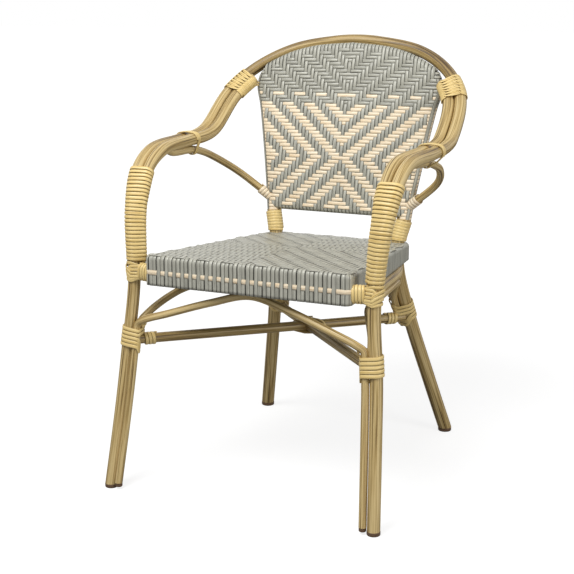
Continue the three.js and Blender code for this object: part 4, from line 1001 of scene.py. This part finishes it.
collar("Front", "Left", longStretcher, False)
collar("Rear", "Right", longStretcher, True)
collar("Front", "Right", shortStretcher, False)
collar("Rear", "Left", shortStretcher, True)
centre, crossHalf = shortStretcher.pointAt(crossing), windings["crossHalf"]
crossRoute = Route(evenly([centre - [0, crossHalf, 0], centre + [0, crossHalf, 0]], 2))
crossTubes = [bundle(stretcher, underSeat["stretcherRadius"]) for stretcher in (longStretcher, shortStretcher)]
caneWinding("crossLashing", [windStrand(
    crossRoute, crossTubes, windings["crossTurns"],
    lambda turn: crossHalf + windings["crossPitch"] * (turn - windings["crossTurns"] / 2),
    windings["lashWidth"], own=9)], windings["lashWidth"], "cross_lashing")
print("cane wound")

# Twill weave

twill = {
    "period": 6,  # over three strands and under three
    "over": 3,
    "thickness": 1.6,
    "lift": 0.8,  # half the height between a strand that is over and one that is under
    "swell": 0.45,  # how much a float rises in its middle
    "uneven": 0.35,  # how far a strand lies off its place
    "dive": 0.22,  # of a pitch: half the way a strand needs to change height
}


def weftIsOver(column, row):
    return (abs(column) - abs(row)) % twill["period"] < twill["over"]


backPanel = {
    "bottom": 501,
    "top": 854,
    "foot": 193,
    "lean": 64,
    "hollow": 16,
    "halfWidth": 203,
    "hoop": [
        (153.2, 189.2, 479.8), (164, 203.4, 557.5), (176.2, 217.6, 633.4), (193.1, 234.6, 726.9), (203, 242, 771),
        (195, 248, 799.3), (149.9, 258.4, 827.5), (87.3, 268, 845.9), (0, 273, 854)],
    "railHeight": 513.5,
    "halfThickness": 10.6,  # to the middle of the woven layer
    "wrapRadius": 11.3,
    "wrapSlope": 1.7,  # a strand steeper than this along the hoop tucks in beside it
    "firstRow": -13,
    "edgeTop": 800,
    "edgeTurn": 38,  # degrees from the face towards the side
    "edgeWidth": 7.5,
    "footLow": 486,
    "footTurns": 4,
    "footPitch": 7.2,
    "footLine": [(150.6, 185.4, 466), (153.2, 189.2, 479.8), (164, 203.4, 557.5)],
    "braceBound": 36,
    "braceSlack": 0.6,
    "leastColumn": 30,  # a shorter column is left to the hoop
    "clear": 3,  # from the hoop to a strand's first crossing
    "places": (-18, 34),  # rows that a column is drawn over
    "frontWay": (0, -1, 0.2),  # square to the leaning back
    "rearWay": (0, 1, -0.2),
    "waver": 0.12,  # of a strand's height
    "tucked": 0.3,  # the level strands lie under the upright ones
    "edgeRise": 1.2,
    "lastRow": 31,
    "footRadius": 10.2,
    "footWidth": 7.0,
    "columnPitch": 8.45,
    "columnWidth": 8.5,
    "rowHeight": 621,  # row 0, where the pattern turns over
    "rowPitchAbove": 7.4,
    "rowPitchBelow": 8.05,
    "rowWidth": 7.7,
    "creamTop": 15,  # the highest row of the cream field
    "creamDash": 18,  # a single cream row in the grey
}


def backY(x, z):
    share = (z - backPanel["bottom"]) / (backPanel["top"] - backPanel["bottom"])
    hollow = backPanel["hollow"] * share ** 2 * (1 - (x / backPanel["halfWidth"]) ** 2)
    return backPanel["foot"] + backPanel["lean"] * share + hollow


def rowHeight(row):
    return backPanel["rowHeight"] + row * (backPanel["rowPitchAbove"] if row > 0 else backPanel["rowPitchBelow"])


hoopHalf = smoothLine(backPanel["hoop"], 2.0)
hoopX, hoopZ = hoopHalf[:, 0], hoopHalf[:, 2]
widest = int(np.argmax(hoopX))


def hoopHalfWidth(z):
    return float(np.interp(z, hoopZ, hoopX))


def hoopTop(x):
    return float(np.interp(-abs(x), -hoopX[widest:], hoopZ[widest:]))


def hoopLow(x):
    if abs(x) < hoopHalfWidth(backPanel["railHeight"]):
        return backPanel["railHeight"]
    return float(np.interp(abs(x), hoopX[:widest + 1], hoopZ[:widest + 1]))


def uneven(index, salt, size):
    # A fixed small difference for each strand, from none to size either way
    return size * math.sin(index * 12.9898 + salt * 78.233) * math.cos(index * 4.1 + salt)


def floatStops(first, last, isOver):
    # Places along a strand, in pitches, and its height there: drawn where it changes and where a float swells
    stops = []
    for index in range(first, last + 1):
        over = isOver(index)
        height = twill["lift"] if over else -twill["lift"]
        if over != isOver(index - 1):
            stops.append((index - 0.5 + twill["dive"], height))
        if over == isOver(index - 1) == isOver(index + 1):
            stops.append((float(index), height + (twill["swell"] if over else 0)))
        if over != isOver(index + 1):
            stops.append((index + 0.5 - twill["dive"], height))
    return stops


def roundHoop(centre, along, plane, start, end, radius):
    # Round the hoop in a strand's own plane: its section there is an oval
    points, outward = [], []
    level, up = plane
    lean = max(1 - along.dot(up) ** 2, 0.08)
    for angle in np.linspace(start, end, 11)[1:-1]:
        offset = level * radius * math.cos(angle) + up * radius / math.sqrt(lean) * math.sin(angle)
        points.append(centre + offset)
        outward.append(unit(offset - along * offset.dot(along)))
    return points, outward


def hoopAt(axis, value, side, low, high):
    # The hoop's middle line where it meets a row or column, and its direction there
    part = hoopHalf[low:high]
    order = np.argsort(part[:, axis])
    centre = np.array([np.interp(value, part[order, axis], part[order, i]) for i in range(3)])
    index = low + int(np.argmin(np.abs(part[:, axis] - value)))
    way = unit(hoopHalf[min(index + 2, len(hoopHalf) - 1)] - hoopHalf[max(index - 2, 0)])
    return centre * [side, 1, 1], way * [side, 1, 1]


def backColumns():
    strands = []
    last = int((backPanel["halfWidth"] - 2) / backPanel["columnPitch"])
    half, clear = backPanel["halfThickness"], backPanel["clear"]
    forward, upward = np.array([0.0, -1.0, 0.0]), np.array([0.0, 0.0, 1.0])
    front, rear = backPanel["frontWay"], backPanel["rearWay"]
    for column in range(-last, last + 1):
        x = column * backPanel["columnPitch"]
        low, high = hoopLow(x), hoopTop(x)
        if high - low < backPanel["leastColumn"]:
            continue
        stops = []
        for place, height in floatStops(*backPanel["places"], lambda row: not weftIsOver(column, row)):
            z = rowHeight(place)
            if low + clear < z < high - clear:
                stops.append((z, height))
        stops = [(z, height + uneven(column, z, backPanel["waver"])) for z, height in stops]
        points = [(x + uneven(column, z, twill["uneven"]), backY(x, z) - half - height, z) for z, height in stops]
        outward = [front] * len(stops)
        centre, along = hoopAt(0, abs(x), 1 if x >= 0 else -1, widest, len(hoopHalf))
        centre[0] = x
        steep = abs(along[2] / max(math.hypot(along[0], along[1]), 1e-6))
        if steep < backPanel["wrapSlope"]:
            over, facing = roundHoop(centre, along, (forward, upward), 0, math.pi, backPanel["wrapRadius"])
            points += over
            outward += facing
        points += [(x, backY(x, z) + half + height, z) for z, height in stops[::-1]]
        outward += [rear] * len(stops)
        if low == backPanel["railHeight"]:
            centre = np.array([x, backY(x, low), low])
            under, facing = roundHoop(centre, np.array([1.0, 0, 0]), (forward, upward), math.pi, 2 * math.pi,
                                      backPanel["wrapRadius"])
            points += under
            outward += facing
        strands.append(strand(points, outward, own=(column * 37) % 11, closed=True))
    return strands


def backRows():
    grey, cream = [], []
    thick, forward = backPanel["halfThickness"], np.array([0.0, -1.0, 0.0])
    for row in range(backPanel["firstRow"], backPanel["lastRow"] + 1):
        z = rowHeight(row)
        half = hoopHalfWidth(z)
        reach = int(half / backPanel["columnPitch"]) + 2
        stops = []
        for place, height in floatStops(-reach, reach, lambda column: weftIsOver(column, row)):
            x = place * backPanel["columnPitch"]
            if abs(x) < half - backPanel["clear"]:
                stops.append((x, height))
        low, high = (0, widest + 1) if z < hoopZ[widest] else (widest, len(hoopHalf))
        centre, along = hoopAt(2, z, 1, low, high)
        centre[2] = z
        steep = abs(along[0] / max(math.hypot(along[1], along[2]), 1e-6))
        points = [(x, backY(x, z) - thick - height, z + uneven(row, x, twill["uneven"])) for x, height in stops]
        outward = [backPanel["frontWay"]] * len(stops)
        radius = backPanel["wrapRadius"] - backPanel["tucked"]
        for side in (1, -1):
            if steep < backPanel["wrapSlope"]:
                angles = (0, math.pi) if side > 0 else (math.pi, 2 * math.pi)
                mirror = np.array([side, 1, 1])
                beside, facing = roundHoop(centre * mirror, along * mirror, (forward, np.array([1.0, 0, 0])),
                                           *angles, radius)
                points += beside
                outward += facing
            if side > 0:
                points += [(x, backY(x, z) + thick + height, z) for x, height in stops[::-1]]
                outward += [backPanel["rearWay"]] * len(stops)
        line = strand(points, outward, own=(row * 53) % 11, closed=True)
        isCream = row <= backPanel["creamTop"] or row == backPanel["creamDash"]
        (cream if isCream else grey).append(line)
    return grey, cream


def backEdges():
    # A grey strand laid down each side of the panel over the rows' turns, front and back
    strands = []
    for side in (1, -1):
        for face in (-1, 1):
            points, outward = [], []
            last = int(np.argmin(np.abs(hoopHalf[widest:, 2] - backPanel["edgeTop"]))) + widest
            for place in hoopHalf[4:last:3]:
                angle = math.radians(backPanel["edgeTurn"])
                out = np.array([side * math.sin(angle), face * math.cos(angle), 0])
                points.append(place * [side, 1, 1] + out * (backPanel["wrapRadius"] + backPanel["edgeRise"]))
                outward.append(out)
            strands.append(strand(points, outward, own=side + face + 3))
    return strands


def hoopFoot(side):
    # The hoop's foot and the end of the arm's brace, each bound under the weave
    foot = Route(mirrored(smoothLine(backPanel["footLine"], 2.0), side))
    brace = Route(mirrored(smoothLine(underSeat["armBrace"], 3.0), side))
    bound = []
    for route, radius, first in (
            (foot, backPanel["footRadius"], foot.lengthWhere(2, backPanel["footLow"])),
            (brace, underSeat["armBraceRadius"] + backPanel["braceSlack"], brace.total - backPanel["braceBound"])):
        climb = lambda turn: first + backPanel["footPitch"] * turn
        bound.append(windStrand(route, [bundle(route, radius)], backPanel["footTurns"], climb, backPanel["footWidth"],
                                hand=side, own=side + 4))
    return bound


weave = {"facets": 8, "squareness": 0.5}
greyRows, creamRows = backRows()
for name, strands, width, finish in (
        ("backColumns", backColumns(), backPanel["columnWidth"], "greyStrand"),
        ("backGreyRows", greyRows, backPanel["rowWidth"], "greyStrand"),
        ("backCreamRows", creamRows, backPanel["rowWidth"], "creamStrand"),
        ("backEdges", backEdges(), backPanel["edgeWidth"], "greyStrand"),
        ("hoopFeet", hoopFoot(1) + hoopFoot(-1), backPanel["footWidth"], "creamStrand")):
    settle(sweep(name, strands, width, twill["thickness"], finish, **weave), finish, "back_weave")
print("back woven")

seatPanel = {
    "frontHalf": 217,
    "rearHalf": 164,
    "front": -269,
    "rear": 207,
    "frontTop": 476,
    "rearTop": 449,
    "crown": 4,
    "frontBottom": 416,
    "rearBottom": 412,
    "edge": 9,
    "corner": 16,
    "columnPitch": 8.75,
    "columnWidth": 8.8,
    "rowPitch": 8.75,
    "rowWidth": 8.8,
    "rowZero": -25,  # y of the pattern's centre
    "sink": 0.9,  # from the outline to the middle of the strands
    "band": 0.44,  # of the apron's height, the cream band
    "bandWidth": 9.4,
    "bandEnd": 192,  # beyond this the band lies over the last strands
    "bandTurn": 13,  # how far it turns round the corners
    "paired": 0.3,  # how far an apron strand leans to its neighbour
    "wander": 0.3,
    "bandSink": 0.3,  # the band lies that much deeper between two strands
    "shares": (0.0, 0.1, 0.2, 0.3, 0.4, 0.5, 0.62, 0.74),  # of the apron's height, where a strand is drawn
    "bandShare": 0.4,  # the one that goes over or under the band
    "leastColumn": 12,
    "clear": 5,  # from the outline to the outermost strands
    "places": (-30, 28),  # rows that a column is drawn over
}


def seatShare(y):
    return (y - seatPanel["front"]) / (seatPanel["rear"] - seatPanel["front"])


def seatHalf(y):
    return mixed(seatPanel["frontHalf"], seatPanel["rearHalf"], seatShare(y))


def apronBottom(y):
    return mixed(seatPanel["frontBottom"], seatPanel["rearBottom"], seatShare(y))


def seatTop(x, y):
    share = seatShare(y)
    crown = seatPanel["crown"] * (1 - (2 * share - 1) ** 2) * (1 - (x / seatHalf(y)) ** 2)
    return mixed(seatPanel["frontTop"], seatPanel["rearTop"], share) + crown


def cornerInset(distance):
    # How far the outline is drawn in near a rounded corner, this far from the corner
    radius = seatPanel["corner"]
    if distance >= radius:
        return 0.0
    return radius - math.sqrt(max(radius ** 2 - (radius - max(distance, 0)) ** 2, 0))


def apronRun(edgeAt, wayOut, topAt, bottom, bandSide=0):
    # From under the rail, up the apron and over the edge; the outline lies at edgeAt in the direction wayOut.
    # bandSide is 1 over the cream band, -1 under it and 0 where there is none
    rows = []
    edge, sink = seatPanel["edge"], seatPanel["sink"]
    height = topAt - bottom
    for share in seatPanel["shares"]:
        z = bottom + height * share
        if z > topAt - edge:
            break
        rows.append((-sink + (twill["lift"] * bandSide if share == seatPanel["bandShare"] else 0), z, (1, 0)))
    for angle in np.linspace(0, math.pi / 2, 5):
        level, upward = math.cos(angle), math.sin(angle)
        rows.append((-edge + (edge - sink) * level, topAt - edge + (edge - sink) * upward, (level, upward)))
    # Back under the rail: way out, height and facing
    under = [(-14, bottom + 6, (-1, 0)), (-13, bottom + 1.4, (-0.7, -0.7)), (-7, bottom + sink, (0, -1)),
             (-2.2, bottom + sink + 0.3, (0.4, -0.9))]
    points, outward = [], []
    for out, z, (level, upward) in under + rows:
        points.append(np.array([edgeAt[0] + wayOut[0] * out, edgeAt[1] + wayOut[1] * out, z]))
        outward.append((wayOut[0] * level, wayOut[1] * level, upward))
    return points, outward


def cornerWay(x, y, way):
    # Square to the outline, also where it is rounded
    radius = seatPanel["corner"]
    across = abs(x) - (seatHalf(y) - radius)
    deep = radius - min(y - seatPanel["front"], seatPanel["rear"] - y)
    if across <= 0 or deep <= 0:
        return way
    return unit(np.array([math.copysign(across, x), math.copysign(deep, y)]))


def seatColumns():
    strands = []
    count = int((seatPanel["frontHalf"] - seatPanel["clear"]) / seatPanel["columnPitch"])
    for column in range(-count, count + 1):
        x = column * seatPanel["columnPitch"]
        front = seatPanel["front"] + cornerInset(seatPanel["frontHalf"] - abs(x))
        # The sides draw in to the back: an outer column ends where it meets them
        share = (seatPanel["frontHalf"] - 3 - abs(x)) / (seatPanel["frontHalf"] - seatPanel["rearHalf"])
        rear = min(seatPanel["rear"], mixed(seatPanel["front"], seatPanel["rear"], share))
        reachesRear = rear >= seatPanel["rear"] - 1
        if reachesRear:
            rear = seatPanel["rear"] - cornerInset(seatPanel["rearHalf"] - abs(x))
        if rear - front < seatPanel["leastColumn"]:
            continue
        lean = seatPanel["paired"] * (1 if column % 2 else -1) + uneven(column, 3, seatPanel["wander"])
        bandSide = 1 if column % 2 and abs(x) < seatPanel["bandEnd"] else -1
        points, outward = apronRun((x + lean, front), cornerWay(x, front, (0, -1)), seatTop(x, front),
                                   apronBottom(front), bandSide)
        for place, height in floatStops(*seatPanel["places"], lambda row: not weftIsOver(column, row)):
            y = seatPanel["rowZero"] + place * seatPanel["rowPitch"]
            if front + seatPanel["edge"] + 1 < y < rear - (seatPanel["edge"] + 1 if reachesRear else 2):
                side = uneven(column, y, twill["uneven"])
                top = seatTop(x, y) - seatPanel["sink"] + height - twill["lift"] + side / 3
                points.append(np.array([x + side, y, top]))
                outward.append((0, 0, 1))
        if reachesRear:
            ends, facing = apronRun((x + lean, rear), cornerWay(x, rear, (0, 1)), seatTop(x, rear),
                                    apronBottom(rear))
            points += ends[::-1]
            outward += facing[::-1]
        strands.append(strand(points, outward, own=(column * 29) % 11))
    return strands


def seatRows():
    strands = []
    clear, zero = seatPanel["clear"], seatPanel["rowZero"]
    first = int(math.ceil((seatPanel["front"] + clear - zero) / seatPanel["rowPitch"]))
    last = int(math.floor((seatPanel["rear"] - clear - zero) / seatPanel["rowPitch"]))
    for row in range(first, last + 1):
        y = seatPanel["rowZero"] + row * seatPanel["rowPitch"]
        half = seatHalf(y) - max(cornerInset(y - seatPanel["front"]), cornerInset(seatPanel["rear"] - y))
        lean = seatPanel["paired"] * (1 if row % 2 else -1) + uneven(row, 5, seatPanel["wander"])
        points, outward = apronRun((half, y + lean), cornerWay(half, y, (1, 0)), seatTop(half, y), apronBottom(y))
        columns = int(half / seatPanel["columnPitch"]) + 1
        for place, height in floatStops(-columns, columns, lambda column: weftIsOver(column, row))[::-1]:
            x = place * seatPanel["columnPitch"]
            if abs(x) < half - seatPanel["edge"] - 1:
                side = uneven(row, x, twill["uneven"])
                top = seatTop(x, y) - seatPanel["sink"] + height - twill["lift"] + side / 3
                points.append(np.array([x, y + side, top]))
                outward.append((0, 0, 1))
        ends, facing = apronRun((-half, y + lean), cornerWay(-half, y, (-1, 0)), seatTop(half, y), apronBottom(y))
        strands.append(strand(points + ends[::-1], outward + facing[::-1], own=(row * 31) % 11))
    return strands


def outlineRing(inset):
    # The seat's outline with rounded corners, as points in order
    ring = []
    radius = seatPanel["corner"] - inset
    rear, front = seatPanel["rear"], seatPanel["front"]
    for side, y, quarter in ((1, rear, 0), (-1, rear, 1), (-1, front, 2), (1, front, 3)):
        centreY = y + (-seatPanel["corner"] if quarter < 2 else seatPanel["corner"])
        for i in range(7):
            angle = (quarter + i / 6) * math.pi / 2
            pointY = centreY + radius * math.sin(angle)
            centreX = side * (seatHalf(pointY) - seatPanel["corner"])
            ring.append((centreX + radius * math.cos(angle), pointY))
    return ring


def frontBand():
    # The cream strand along the front of the apron, from collar to collar; its ends lie over the last strands
    ring = outlineRing(seatPanel["sink"])
    rearmost = max(range(len(ring)), key=lambda i: ring[i][1])
    ring = ring[rearmost:] + ring[:rearmost + 1]
    route = Route(np.array([(x, y, mixed(apronBottom(y), seatTop(0, y), seatPanel["band"])) for x, y in ring]))
    points, outward = [], []
    for length in np.arange(0, route.total, seatPanel["columnPitch"] / 4):
        point = route.pointAt(length)
        if point[1] > seatPanel["front"] + seatPanel["bandTurn"]:
            continue
        way = route.wayAt(length)
        out = unit(np.array([way[1], -way[0], 0]))
        over = int(round(point[0] / seatPanel["columnPitch"])) % 2 == 0 or abs(point[0]) > seatPanel["bandEnd"]
        points.append(point + out * (twill["lift"] if over else -twill["lift"] - seatPanel["bandSink"]))
        outward.append(out)
    return strand(points, outward, own=3)


for name, strands, width, finish in (
        ("seatColumns", seatColumns(), seatPanel["columnWidth"], "greyStrand"),
        ("seatRows", seatRows(), seatPanel["rowWidth"], "greyStrand"),
        ("seatCreamBand", [frontBand()], seatPanel["bandWidth"], "creamStrand")):
    settle(sweep(name, strands, width, twill["thickness"], finish, **weave), finish, "seat_weave")
print("seat woven")

# Hidden rails keep their CAD solids

for node in ("back_hoop", "back_bottom_rail", "seat_rail_front", "seat_rail_rear", "seat_rail_left",
             "seat_rail_right", "seat_cross_bar_1", "seat_cross_bar_2"):
    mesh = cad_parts[node].data
    mesh.materials.clear()
    mesh.materials.append(materials["millAluminium"])

print("done")
